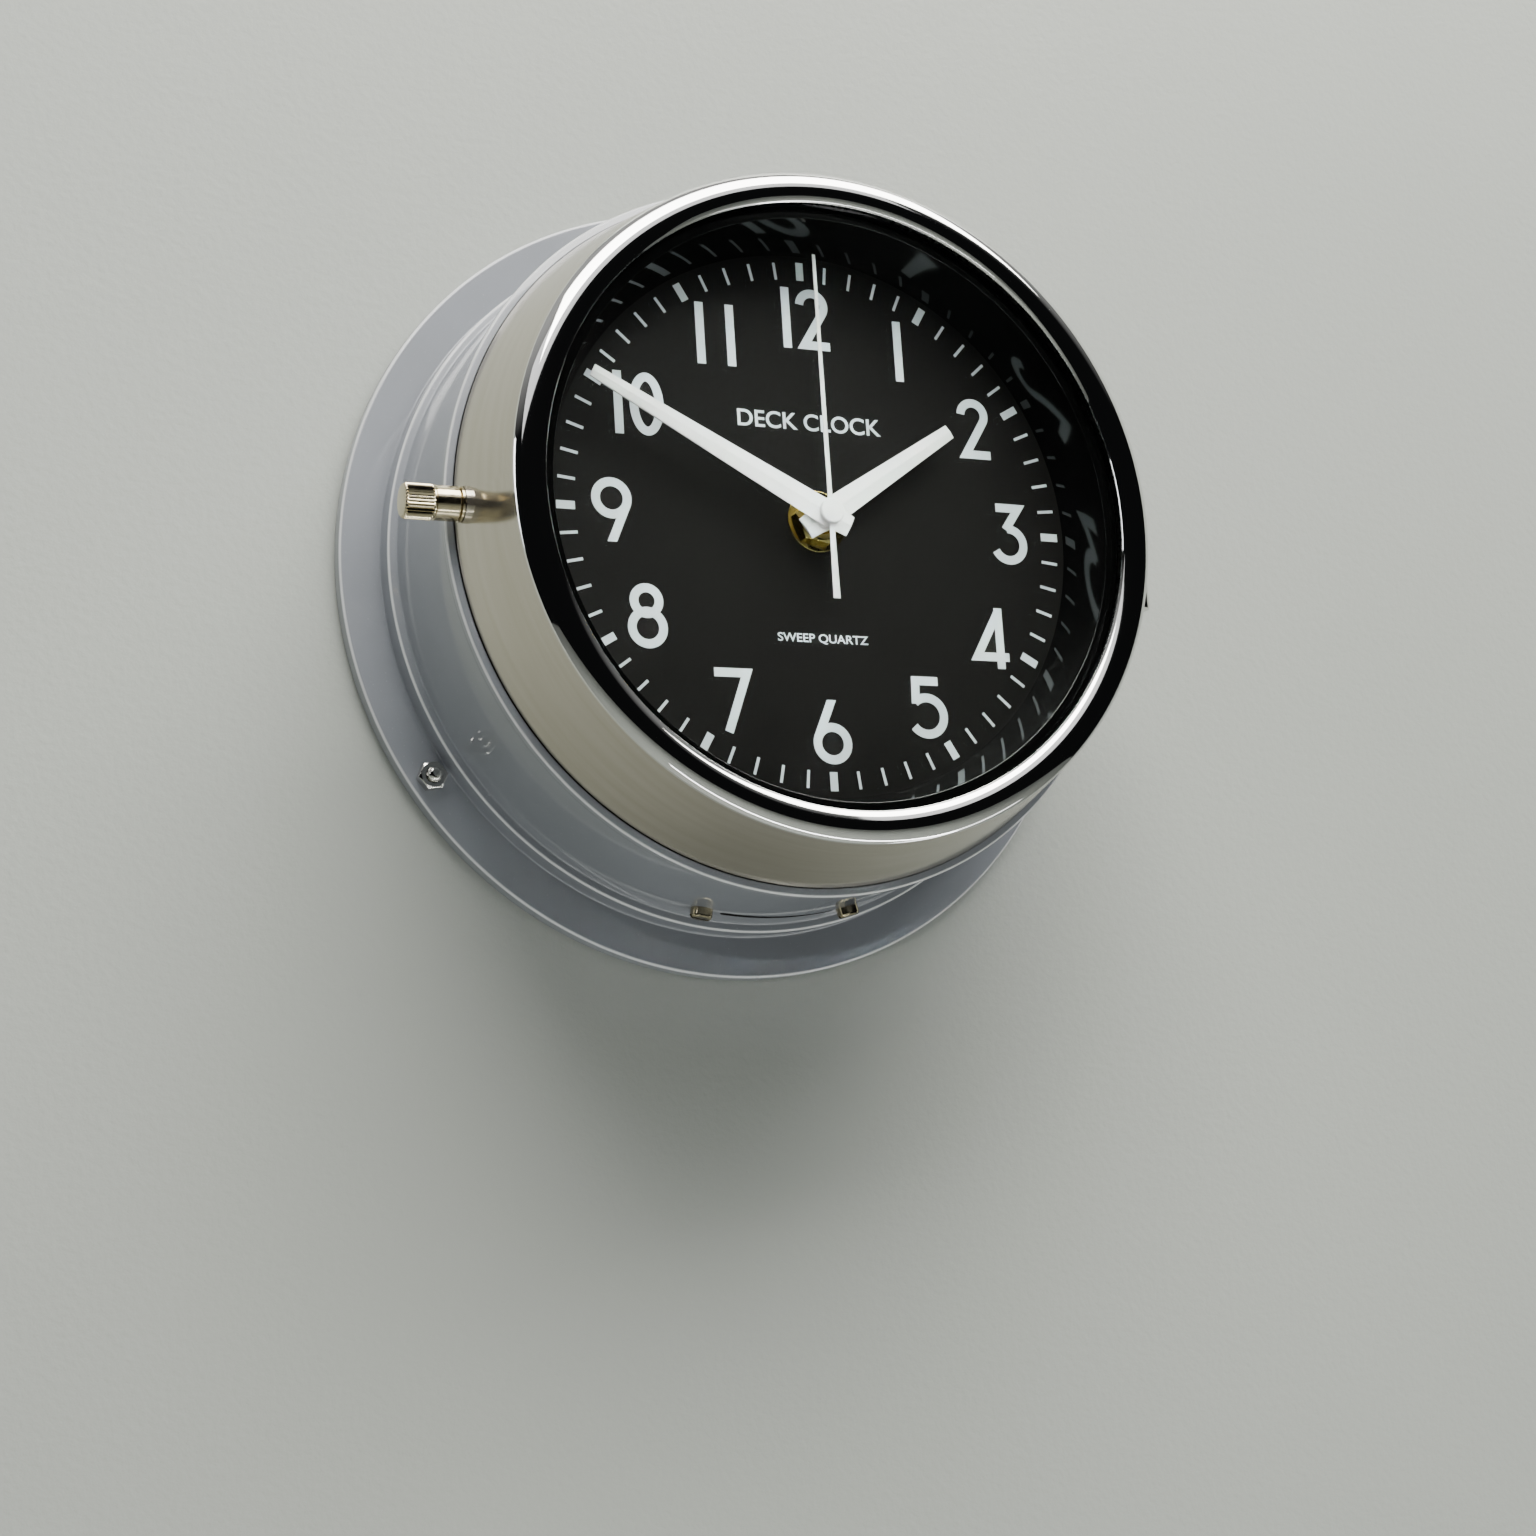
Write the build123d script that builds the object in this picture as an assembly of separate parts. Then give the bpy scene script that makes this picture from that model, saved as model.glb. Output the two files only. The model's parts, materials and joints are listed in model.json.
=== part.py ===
from build123d import *
from math import atan2, cos, pi, radians, sin, tan
import os

# Ship's deck clock for bulkhead mounting, millimetres.
# The clock's axis is Y and the wall is the plane Y = 0, with the clock standing out towards -Y.
# +Z is 12 o'clock and +X is 3 o'clock.  "Depth" is the distance out from the wall, so Y = -depth.

# ---------------------------------------------------------------- driving dimensions
flange_radius = 110.0
flange_front = 4.8
flange_recess = 2.0
flange_recess_radius = 106.8
foot_radius = 98.7
foot_front = 11.5
drum_radius = 95.8
drum_wall = 2.8
drum_front = 54.0
neck_radius = 88.5
neck_wall = 2.2
neck_front = 64.9
web_thickness = 3.5
ledge_radius = 80.0
ledge_thickness = 2.0

plate_radius = 106.4
plate_thickness = 1.5
wall_hole_circle = 75.0
wall_hole_radius = 2.6
wall_hole_angles = (60.0, 180.0, 300.0)
stud_circle = 104.0
stud_radius = 2.0
stud_angles = (117.0, 237.0, 357.0)
stud_end = 9.9
stud_nut_flats = 7.0
stud_nut_height = 3.2

dial_radius = 86.2
dial_thickness = 1.5
surround_foot = 73.0
surround_mouth = 77.3
surround_front = 81.8
surround_wall = 1.4
surround_flange = 1.5
surround_flange_radius = 86.3
surround_lip_radius = 80.6
surround_screw_circle = 83.2
surround_screw_angles = (40.0, 130.0, 220.0, 310.0)
surround_screw_radius = 1.25

bezel_back = 54.6
bezel_back_radius = 94.2
bezel_corner_depth = 84.6
bezel_corner_radius = 88.4
bezel_wall = 1.8
rim_crown_depth = 86.6
rim_crown_radius = 84.4
rim_lip_radius = 80.1
rim_lip_depth = 85.2
lip_back = 84.8
glass_radius = 86.0
glass_front = 84.4
glass_back = 82.2

hinge_x = 102.5
hinge_depth = 54.3
hinge_half_height = 15.0
hinge_barrel_radius = 3.0
hinge_pin_radius = 1.5
hinge_middle_half = 4.8
hinge_screw_z = (-9.5, 9.5)
hinge_screw_depth = 43.6
hinge_screw_radius = 1.5
hinge_rivet_z = (-7.6, 7.6)
hinge_rivet_depth = 65.0
hinge_rivet_radius = 1.2
hinge_leaf_thickness = 1.5
running_gap = 0.05

thumb_depth = 61.0
thumb_radius = 4.5
thumb_face = 95.05
thumb_end = 109.5
thumb_knurl_start = 101.9
thumb_teeth = 30
thumb_tooth_depth = 0.4
thumb_shank_radius = 2.0
thumb_shank_end = 82.0
thumb_slot_half = 2.35
washer_thickness = 0.55
washer_middle = 94.72
pad_radius = 4.7
pad_face = 94.2
boss_radius = 4.5
insert_radius = 3.0
insert_length = 6.8
insert_middle = 84.9

slot_angle = 178.3
slot_length = 33.0
slot_width = 2.5
slot_depth = 19.7
slot_screw_angles = (166.0, 191.5)
slot_screw_depth = 20.5
slot_screw_radius = 1.75
slot_screw_head_radius = 3.0
slot_screw_head_height = 2.7
slot_screw_cut = 0.8
slot_cover_arc = 42.0
slot_cover_span = (15.0, 26.0)
slot_cover_thickness = 1.5
slot_nut_side = 6.5
slot_nut_height = 2.6

movement_half = 28.0
movement_back = 47.0
movement_front = 64.1
movement_skin = 1.2
bush_radius = 4.0
bush_bore = 2.6
hour_tube_radius = 2.5
hour_tube_bore = 1.5
minute_tube_radius = 1.4
minute_tube_bore = 0.6
second_arbor_radius = 0.5
arbor_radius = 0.4
battery_radius = 7.2
battery_length = 50.0
battery_z = -19.35
battery_depth = 55.4
battery_cap_radius = 2.6
battery_cap_height = 1.4
setting_radius = 0.7
coil_x = 24.0
coil_z = 6.0
coil_depth = 53.8
core_radius = 1.0
winding_radius = 2.35
winding_length = 26.4
cheek_radius = 2.6
cheek_thickness = 0.8
knob_radius = 5.0
knob_grooves = 20
washer_radius = 8.3
nut_flats = 12.0
nut_height = 2.4
dial_washer_thickness = 0.6

hour_angle = 56.0
minute_angle = 298.0
second_angle = 0.0
hour_hand_length = 46.0
minute_hand_length = 71.0
second_hand_length = 70.0
hand_tail = 6.8
hour_hand_depth = 71.4
minute_hand_depth = 73.6
second_hand_depth = 75.4

# Gear train: places are (x, z) of each arbor, and layers are (back, front) depths of each wheel.
train_module = 0.3
centre_module = 20.4 / 90
motion_module = 0.288
second_place = (0.0, 0.0)
third_place = (-10.2, 0.0)
works_place = (0.0, 7.2)
setting_place = (0.0, 15.6)
train_angle = 70.0
between_distance = 9.0
rotor_distance = 8.4
arbor_foot = 48.2
rear_arbor_end = 57.3
boss_top = 50.4
bridge_layer = (56.6, 57.4)
board_layer = (49.4, 50.4)
stator_layer = (53.4, 54.2)
second_wheel_layer = (53.4, 54.0)
second_pinion_layer = (54.9, 56.4)
third_wheel_layer = (55.6, 56.2)
third_pinion_layer = (57.8, 59.1)
centre_wheel_layer = (58.2, 58.8)
cannon_pinion_layer = (59.4, 60.6)
works_wheel_layer = (59.6, 60.4)
works_pinion_layer = (60.4, 61.8)
hour_wheel_layer = (60.9, 61.7)
between_wheel_layer = (51.6, 52.2)
between_pinion_layer = (53.1, 54.3)
rotor_pinion_layer = (51.2, 52.5)
magnet_layer = (52.9, 54.8)
magnet_radius = 2.8


# ---------------------------------------------------------------- small helpers
def corner(before, here, after, radius):
    """Tangent points and middle of the arc that rounds a corner of an outline."""
    a = Vector(*before) - Vector(*here)
    b = Vector(*after) - Vector(*here)
    a, b = a.normalized(), b.normalized()
    half = radians(a.get_angle(b)) / 2
    reach = radius / tan(half)
    middle = (a + b).normalized() * (radius / sin(half) - radius)
    centre = Vector(*here)
    return centre + a * reach, centre + middle, centre + b * reach


def outline(points):
    """Closed face from 2-D points; a third value rounds that corner by its radius."""
    edges = []
    ends = []
    for i, point in enumerate(points):
        before = points[i - 1][:2]
        after = points[(i + 1) % len(points)][:2]
        if len(point) == 3 and point[2] > 0:
            first, middle, last = corner(before, point[:2], after, point[2])
            edges.append(Edge.make_three_point_arc(first, middle, last))
            ends.append((first, last))
        else:
            ends.append((Vector(*point[:2]), Vector(*point[:2])))
    for i, (_, leave) in enumerate(ends):
        arrive = ends[(i + 1) % len(ends)][0]
        if (arrive - leave).length > 1e-6:
            edges.append(Edge.make_line(leave, arrive))
    return Face(Wire.combine(edges)[0])


def turned(points, arc=360.0, start=0.0):
    """Solid of revolution about the clock's axis from (radius, depth[, corner]) points."""
    face = outline([(p[0], -p[1], *p[2:]) for p in points])
    return revolve(Rot(0, start, 0) * face, axis=Axis.Y, revolution_arc=arc)


def ring(inner, outer, back, front):
    """Plain ring, or disc where inner is 0, between two depths."""
    return turned([(inner, back), (outer, back), (outer, front), (inner, front)])


def disc(radius, back, front, x=0.0, z=0.0):
    """Cylinder along the clock's axis at (x, z)."""
    body = Cylinder(radius, front - back, rotation=(90, 0, 0))
    return Pos(x, -(front + back) / 2, z) * body


def block(x, z, back, front):
    """Box from its x span, z span and depths."""
    size = (x[1] - x[0], front - back, z[1] - z[0])
    return Pos((x[0] + x[1]) / 2, -(front + back) / 2, (z[0] + z[1]) / 2) * Box(*size)


def clock_place(shape, angle):
    """Turn a shape made at 12 o'clock to a clock angle, clockwise from the front."""
    return Rot(0, angle, 0) * shape


def clock_point(radius, angle):
    """(x, z) of a point at a clock angle."""
    return radius * sin(radians(angle)), radius * cos(radians(angle))


def radial(shape, angle, depth):
    """Carry a shape made along +Z to a clock angle and depth, standing out of the drum."""
    return Rot(0, angle, 0) * (Pos(0, -depth, 0) * shape)


def standing(radius, low, high):
    """Cylinder along +Z from low to high."""
    return Pos(0, 0, (low + high) / 2) * Cylinder(radius, high - low)


def across(radius, low, high):
    """Cylinder on the thumb screw's axis, between two distances from the clock's axis."""
    return Pos(-(low + high) / 2, -thumb_depth, 0) * Cylinder(radius, high - low, rotation=(0, 90, 0))


def hinge_side(radius, low, high, depth, z):
    """Cylinder along +X for the hinge's fixings, from x = low to x = high."""
    return Pos((low + high) / 2, -depth, z) * Cylinder(radius, high - low, rotation=(0, 90, 0))


def hexagon(flats, back, front, bore, x=0.0, z=0.0):
    """Hexagon nut along the clock's axis, its front corners turned down."""
    chamfer = 0.9
    face = Plane.XZ * RegularPolygon(flats / 2, 6, major_radius=False)
    prism = Pos(x, -back, z) * extrude(face, front - back)
    clear = flats / cos(pi / 6) / 2 + 1
    cone = turned([(0, back - 1), (clear, back - 1), (clear, front - chamfer), (flats * 0.49, front),
                   (0, front)])
    return (prism & Pos(x, 0, z) * cone) - disc(bore, back - 1, front + 1, x, z)


def gear(teeth, module, layer, x=0.0, z=0.0, phase=0.0):
    """Spur wheel with straight-sided teeth; phase turns it, in degrees, about its own axis.
    Each tooth is a fifth of the pitch wide at its tip and three fifths at its root."""
    back, front = layer
    tip = module * (teeth / 2 + 0.75)
    root = module * (teeth / 2 - 1.05)
    pitch = 2 * pi / teeth
    points = []
    for i in range(teeth):
        middle = i * pitch + radians(phase)
        for offset, radius in ((-0.30, root), (-0.10, tip), (0.10, tip), (0.30, root)):
            angle = middle + offset * pitch
            points.append((radius * sin(angle), radius * cos(angle)))
    face = Plane.XZ.location * outline(points)
    return Pos(x, -back, z) * extrude(face, front - back, dir=(0, -1, 0))


def save(node, *shapes):
    """Write one node's solids to its STEP file."""
    solids = [solid for shape in shapes for solid in shape.solids()]
    export_step(Compound(solids), f"parts/{node}.step")


# ---------------------------------------------------------------- the train's places and phases
def away(start, angle, distance):
    """Point at a clock angle and distance from another."""
    x, z = clock_point(distance, angle)
    return start[0] + x, start[1] + z


def mesh_phase(teeth, own_place, mate_place, mate_teeth, mate_phase):
    """Phase that puts a tooth space of this wheel on the mate's tooth along the line of centres."""
    dx, dz = mate_place[0] - own_place[0], mate_place[1] - own_place[1]
    toward = atan2(dx, dz) * 180 / pi
    from_mate = toward + 180
    mate_pitch = 360 / mate_teeth
    lag = (from_mate - mate_phase) / mate_pitch
    lag -= round(lag)
    own_pitch = 360 / teeth
    return toward + own_pitch * (0.5 + lag)


between_place = away(second_place, train_angle, between_distance)
rotor_place = away(between_place, train_angle, rotor_distance)

third_phase = 0.0
second_pinion_phase = mesh_phase(8, second_place, third_place, 60, third_phase)
third_pinion_phase = 0.0
centre_phase = mesh_phase(80, second_place, third_place, 10, third_pinion_phase)
works_phase = mesh_phase(36, works_place, second_place, 12, 0.0)
works_pinion_phase = mesh_phase(10, works_place, second_place, 40, 0.0)
setting_phase = mesh_phase(20, setting_place, works_place, 36, works_phase)
between_pinion_phase = mesh_phase(10, between_place, second_place, 50, 0.0)
between_phase = 0.0
rotor_phase = mesh_phase(8, rotor_place, between_place, 48, between_phase)


# ---------------------------------------------------------------- wall plate and its fixings
def wall_plate():
    """Flat disc screwed to the bulkhead, hidden in the recess behind the flange."""
    plate = ring(0, plate_radius, 0, plate_thickness)
    for angle in wall_hole_angles:
        x, z = clock_point(wall_hole_circle, angle)
        plate -= disc(wall_hole_radius, -1, 3, x, z)
    for angle in stud_angles:
        x, z = clock_point(stud_circle, angle)
        plate -= disc(stud_radius, -1, 3, x, z)
    return plate


def wall_studs():
    """Studs pressed into the wall plate, with domed ends."""
    studs = []
    for angle in stud_angles:
        x, z = clock_point(stud_circle, angle)
        stud = turned([(0, 0.1), (stud_radius, 0.1), (stud_radius, stud_end, 1.3), (0, stud_end)])
        studs.append(Pos(x, 0, z) * stud)
    return studs


def flange_nuts():
    """Hexagon nuts that hold the flange to the studs."""
    return [
        hexagon(stud_nut_flats, flange_front, flange_front + stud_nut_height, stud_radius,
                *clock_point(stud_circle, angle))
        for angle in stud_angles
    ]


# ---------------------------------------------------------------- rear case
def rear_case():
    """Flanged drum with a foot step, a rolled front bead and the neck that the bezel closes over."""
    inner = drum_radius - drum_wall
    neck_inner = neck_radius - neck_wall
    body = turned([
        (flange_recess_radius, 0),
        (flange_radius, 0, 0.6),
        (flange_radius, flange_front, 1.1),
        (foot_radius, flange_front, 0.5),
        (foot_radius, foot_front, 1.0),
        (drum_radius + 0.5, foot_front + 0.4, 0.6),
        (drum_radius, foot_front + 4.0),
        (drum_radius, drum_front - 4.6, 2.0),
        (drum_radius + 0.6, drum_front - 2.6, 0.8),
        (drum_radius + 0.6, drum_front - 0.3, 0.9),
        (drum_radius - 1.6, drum_front + 0.2, 0.3),
        (drum_radius - 2.1, drum_front - 1.6),
        (neck_radius + 1.8, drum_front - 1.6),
        (neck_radius + 1.8, drum_front),
        (neck_radius, drum_front),
        (neck_radius, neck_front, 0.5),
        (ledge_radius, neck_front),
        (ledge_radius, neck_front - ledge_thickness),
        (neck_inner, neck_front - ledge_thickness),
        (neck_inner, drum_front - web_thickness, 1.0),
        (inner, drum_front - web_thickness, 1.5),
        (inner, flange_recess, 0.5),
        (flange_recess_radius, flange_recess),
    ])
    body += across(boss_radius, ledge_radius + 1.5, neck_radius) & ring(0, neck_radius - 1.0, 50, neck_front)
    body -= across(insert_radius, ledge_radius - 1, neck_radius + 1)
    for angle in stud_angles:
        body -= disc(stud_radius + 0.3, -1, 8, *clock_point(stud_circle, angle))
    slot = Plane.XY * SlotOverall(slot_length, slot_width)
    body -= radial(Pos(0, 0, 85) * extrude(slot, 20), slot_angle, slot_depth)
    for angle in slot_screw_angles:
        body -= radial(standing(slot_screw_radius, 85, 105), angle, slot_screw_depth)
    for angle in surround_screw_angles:
        body -= disc(surround_screw_radius, 60, 66, *clock_point(surround_screw_circle, angle))
    for z in hinge_screw_z:
        body -= hinge_side(hinge_screw_radius, 80, 100, hinge_screw_depth, z)
    return body


def slot_cover():
    """Black strip clamped over the inside of the slot by its two screws."""
    outer = drum_radius - drum_wall
    inner = outer - slot_cover_thickness
    back, front = slot_cover_span
    section = [(inner, back), (outer, back), (outer, front), (inner, front)]
    strip = turned(section, arc=slot_cover_arc, start=slot_angle - 90 - slot_cover_arc / 2)
    for angle in slot_screw_angles:
        strip -= radial(standing(slot_screw_radius, 85, 105), angle, slot_screw_depth)
    return strip


def slot_screws():
    """Slotted cheese-head screws at the ends of the slot."""
    top = drum_radius + slot_screw_head_height
    head = standing(slot_screw_head_radius, drum_radius, top)
    head = fillet(head.edges().filter_by(GeomType.CIRCLE).sort_by(Axis.Z)[-1:], 0.8)
    head -= Pos(0, 0, top) * Box(8, slot_screw_cut, 2.4)
    screw = head + standing(slot_screw_radius, 86.5, drum_radius)
    return [radial(screw, angle, slot_screw_depth) for angle in slot_screw_angles]


def slot_nuts():
    """Square nuts inside the drum."""
    top = drum_radius - drum_wall - slot_cover_thickness
    body = Pos(0, 0, top - 1.6) * Box(slot_nut_side, slot_nut_side, slot_nut_height)
    nut = body - standing(slot_screw_radius, 80, 100)
    return [radial(nut, angle, slot_screw_depth) for angle in slot_screw_angles]


def front_gasket():
    """Rubber ring in the groove that the bezel closes against."""
    low = neck_radius + 1.8
    high = drum_radius - 2.1
    return turned([(low, drum_front - 1.6), (high, drum_front - 1.6), (high - 0.3, drum_front + 0.1, 0.5),
                   (low + 0.3, drum_front + 0.1, 0.5)])


def plate_gasket():
    """Foam ring between the wall plate and the flange."""
    return ring(94.0, 100.5, plate_thickness, flange_recess)


# ---------------------------------------------------------------- dial and surround
def dial():
    """Aluminium dial disc resting on the neck's ledge."""
    front = neck_front + dial_thickness
    disc_body = ring(bush_radius + 0.2, dial_radius, neck_front, front)
    for angle in surround_screw_angles:
        disc_body -= disc(surround_screw_radius + 0.1, 60, 70, *clock_point(surround_screw_circle, angle))
    return disc_body


def dial_surround():
    """Gloss black funnel ring that stands on the dial and reaches the glass."""
    back = neck_front + dial_thickness
    body = turned([
        (surround_foot, back),
        (surround_flange_radius, back),
        (surround_flange_radius, back + surround_flange, 0.4),
        (surround_foot + 2.2, back + surround_flange, 0.8),
        (surround_mouth + 1.2, surround_front - surround_wall, 0.3),
        (surround_lip_radius, surround_front - surround_wall),
        (surround_lip_radius, surround_front, 0.3),
        (surround_mouth, surround_front, 0.4),
    ])
    for angle in surround_screw_angles:
        body -= disc(surround_screw_radius + 0.1, 60, 70, *clock_point(surround_screw_circle, angle))
    return body


def surround_screws():
    """Pan-head screws through the surround and the dial into the ledge."""
    seat = neck_front + dial_thickness + surround_flange
    shank, head, top = surround_screw_radius, 2.3, seat + 1.3
    screw = turned([(0, 61.5), (shank, 61.5), (shank, seat), (head, seat), (head, top, 0.5), (0, top)])
    screw -= block((-3, 3), (-0.3, 0.3), seat + 0.6, seat + 2)
    screws = []
    for angle in surround_screw_angles:
        x, z = clock_point(surround_screw_circle, angle)
        screws.append(Pos(x, 0, z) * screw)
    return screws


# ---------------------------------------------------------------- bezel
def skirt_radius(depth):
    """Outside radius of the tapered skirt at a depth."""
    share = (depth - bezel_back) / (bezel_corner_depth - bezel_back)
    return bezel_back_radius + share * (bezel_corner_radius - bezel_back_radius)


def rim_arc():
    """Profile of the bezel with its convex polished rim, as (radius, -depth) edges."""
    corner_point = Vector(bezel_corner_radius, -bezel_corner_depth)
    crown = Vector(rim_crown_radius, -rim_crown_depth)
    lip = Vector(rim_lip_radius, -rim_lip_depth)
    inner_front = skirt_radius(lip_back) - bezel_wall
    points = [
        lip,
        Vector(rim_lip_radius, -lip_back),
        Vector(inner_front, -lip_back),
        Vector(bezel_back_radius - bezel_wall, -bezel_back),
        Vector(bezel_back_radius - 0.3, -bezel_back),
        Vector(skirt_radius(bezel_back + 0.4), -bezel_back - 0.4),
        corner_point,
    ]
    edges = [Edge.make_line(a, b) for a, b in zip(points[:-1], points[1:])]
    edges.append(Edge.make_three_point_arc(corner_point, crown, lip))
    return Face(Wire.combine(edges)[0])


def thumb_cut(depth_from):
    """U-shaped passage for the thumb screw's shank, open to the rear."""
    round_end = across(thumb_slot_half, 87, 99)
    return round_end + block((-99, -87), (-thumb_slot_half, thumb_slot_half), depth_from, thumb_depth)


def bezel():
    """Tapered skirt and polished rim in one spinning, with the U-slot for the thumb screw."""
    body = revolve(rim_arc(), axis=Axis.Y)
    body -= thumb_cut(50)
    for z in hinge_rivet_z:
        body -= hinge_side(hinge_rivet_radius, 80, 100, hinge_rivet_depth, z)
    return body


def screw_pad():
    """Flat seat brazed to the tapered skirt under the thumb screw."""
    body = across(pad_radius, 88, pad_face)
    solid_skirt = turned([(0, 50), (skirt_radius(50), 50), (skirt_radius(75), 75), (0, 75)])
    return (body - solid_skirt) - thumb_cut(50)


def glass_gasket():
    """Rubber ring between the rim's lip and the glass."""
    return ring(rim_lip_radius + 0.5, glass_radius, glass_front, lip_back)


def glass():
    """Flat clock glass."""
    return ring(0, glass_radius, glass_back, glass_front)


def retaining_ring():
    """Sprung ring that holds the glass from behind."""
    return ring(81.7, skirt_radius(glass_back) - bezel_wall - 0.02, glass_back - 1.9, glass_back)


# ---------------------------------------------------------------- hinge
def barrel(radius, low, high):
    """Part of the hinge barrel between two heights."""
    return Pos(hinge_x, -hinge_depth, (low + high) / 2) * Cylinder(radius, high - low)


def case_hinge_leaf():
    """Leaf on the drum with the two outer knuckles."""
    back, front = 39.5, 49.0
    outer = drum_radius + hinge_leaf_thickness
    half_arc = 8.8
    section = [(drum_radius, back), (outer, back, 0.4), (outer, front), (drum_radius, front)]
    leaf = turned(section, arc=2 * half_arc, start=-half_arc)
    spans = [(-hinge_half_height, -hinge_middle_half - 0.2), (hinge_middle_half + 0.2, hinge_half_height)]
    for low, high in spans:
        leaf += barrel(hinge_barrel_radius, low, high)
        leaf += block((drum_radius + 0.9, hinge_x), (low, high), 47.3, 48.8)
        leaf += block((hinge_x - 1.5, hinge_x + 0.4), (low, high), 47.3, hinge_depth - 1.6)
    leaf -= barrel(hinge_pin_radius, -20, 20)
    for z in hinge_screw_z:
        leaf -= hinge_side(hinge_screw_radius, 86, 106, hinge_screw_depth, z)
    return leaf


def hinge_pin():
    """Pin fast in the case's knuckles."""
    return barrel(hinge_pin_radius, -hinge_half_height - 0.6, hinge_half_height + 0.6)


def hinge_screws():
    """Round-head screws of the case's leaf."""
    seat = drum_radius + hinge_leaf_thickness
    screws = []
    for z in hinge_screw_z:
        shank = hinge_side(hinge_screw_radius, 92, seat, hinge_screw_depth, z)
        screws.append(shank + hinge_side(2.6, seat, seat + 1.3, hinge_screw_depth, z))
    return screws


def bezel_hinge_leaf():
    """Leaf that follows the skirt, with the middle knuckle."""
    back, front = bezel_back + 3.2, 69.0
    low, high = skirt_radius(back), skirt_radius(front)
    thick, half_arc = 1.4, 7.0
    section = [(low, back), (low + thick, back), (high + thick, front, 0.4), (high, front)]
    leaf = turned(section, arc=2 * half_arc, start=-half_arc)
    middle = (-hinge_middle_half, hinge_middle_half)
    strap = block((93.8, hinge_x), middle, hinge_depth + 1.7, hinge_depth + hinge_barrel_radius + 1.2)
    strap -= turned([(0, 40), (skirt_radius(40), 40), (skirt_radius(80), 80), (0, 80)])
    leaf += strap
    leaf += barrel(hinge_barrel_radius, *middle)
    leaf -= barrel(hinge_pin_radius + running_gap, -20, 20)
    for z in hinge_rivet_z:
        leaf -= hinge_side(hinge_rivet_radius, 85, 105, hinge_rivet_depth, z)
    return leaf


def hinge_rivets():
    """Rivets that hold the bezel's leaf to the skirt."""
    low = skirt_radius(hinge_rivet_depth) - bezel_wall - 0.6
    high = skirt_radius(hinge_rivet_depth) + 1.6
    rivets = []
    for z in hinge_rivet_z:
        shank = hinge_side(hinge_rivet_radius, low, high, hinge_rivet_depth, z)
        rivets.append(shank + hinge_side(2.2, high, high + 0.8, hinge_rivet_depth, z))
    return rivets


# ---------------------------------------------------------------- thumb screw
def thumb_screw():
    """Knob with a straight-knurled outer half and a plain inner half, on its shank."""
    ridge = 2 * pi / thumb_teeth
    star = []
    for i in range(thumb_teeth):
        crest, root = i * ridge, (i + 0.5) * ridge
        low = thumb_radius - thumb_tooth_depth
        star.append((thumb_radius * cos(crest), thumb_radius * sin(crest)))
        star.append((low * cos(root), low * sin(root)))
    face = Plane.YZ.location * outline(star)
    knurl = Pos(-thumb_end, -thumb_depth, 0) * extrude(face, thumb_end - thumb_knurl_start, dir=(1, 0, 0))
    chamfer_start = thumb_end - 4.0
    cone = Cone(thumb_radius + 3.6, thumb_radius - 0.5, 4.1, rotation=(0, -90, 0),
                align=(Align.CENTER, Align.CENTER, Align.MAX))
    knurl &= Pos(-thumb_end, -thumb_depth, 0) * cone + across(thumb_radius + 1, 95, chamfer_start)
    plain = across(thumb_radius - 0.05, thumb_face, thumb_knurl_start)
    return knurl + plain + across(thumb_shank_radius, thumb_shank_end, thumb_face)


def screw_washer():
    """Captive washer that travels with the thumb screw without turning."""
    back, front = washer_middle - washer_thickness / 2, washer_middle + washer_thickness / 2
    hole = across(thumb_shank_radius + running_gap, back - 1, front + 1)
    return across(thumb_radius + 0.05, back, front) - hole


def screw_insert():
    """Brass insert in the neck that the thumb screw runs in."""
    low, high = insert_middle - insert_length / 2, insert_middle + insert_length / 2
    return across(insert_radius, low, high) - across(thumb_shank_radius + running_gap, low - 1, high + 1)


# ---------------------------------------------------------------- movement, fixed pieces
def movement_back_cover():
    """Moulded box with bearing bosses and an open battery bay."""
    wall = movement_skin
    inside = movement_half - wall
    span = (-movement_half, movement_half)
    body = block(span, span, movement_back, movement_front - wall)
    body = fillet(body.edges().filter_by(Axis.Y), 3.0)
    body -= block((-inside, inside), (-inside, inside), movement_back + wall, movement_front)
    bay = (battery_length / 2 + 0.4, battery_radius + 0.25)
    body -= block((-bay[0], bay[0]), (battery_z - bay[1], battery_z + bay[1]), movement_back - 1, 60)
    for x, z in (second_place, third_place, between_place, rotor_place, setting_place):
        body += disc(1.6, movement_back + wall, boss_top, x, z)
        body -= disc(arbor_radius + 0.06, movement_back + 0.6, boss_top + 1, x, z)
    body -= disc(second_arbor_radius + 0.06, movement_back + 0.6, boss_top + 1, *second_place)
    body -= disc(setting_radius + 0.08, movement_back - 1, boss_top + 1, *setting_place)
    return body


def movement_front_cover():
    """Front plate of the movement."""
    span = (-movement_half, movement_half)
    back = movement_front - movement_skin
    body = block(span, span, back, movement_front)
    body = fillet(body.edges().filter_by(Axis.Y), 3.0)
    body -= disc(bush_radius, back - 1, movement_front + 1)
    for x, z in (third_place, works_place, setting_place):
        body -= disc(arbor_radius + 0.3, back - 1, back + 0.7, x, z)
    return body


def centre_bush():
    """Threaded brass bush that the movement is clamped to the dial by."""
    foot, shoulder, end = 61.9, movement_front - movement_skin, 70.6
    return turned([(bush_bore, foot), (6.0, foot), (6.0, shoulder), (bush_radius, shoulder),
                   (bush_radius, end, 0.4), (bush_bore, end)])


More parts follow.
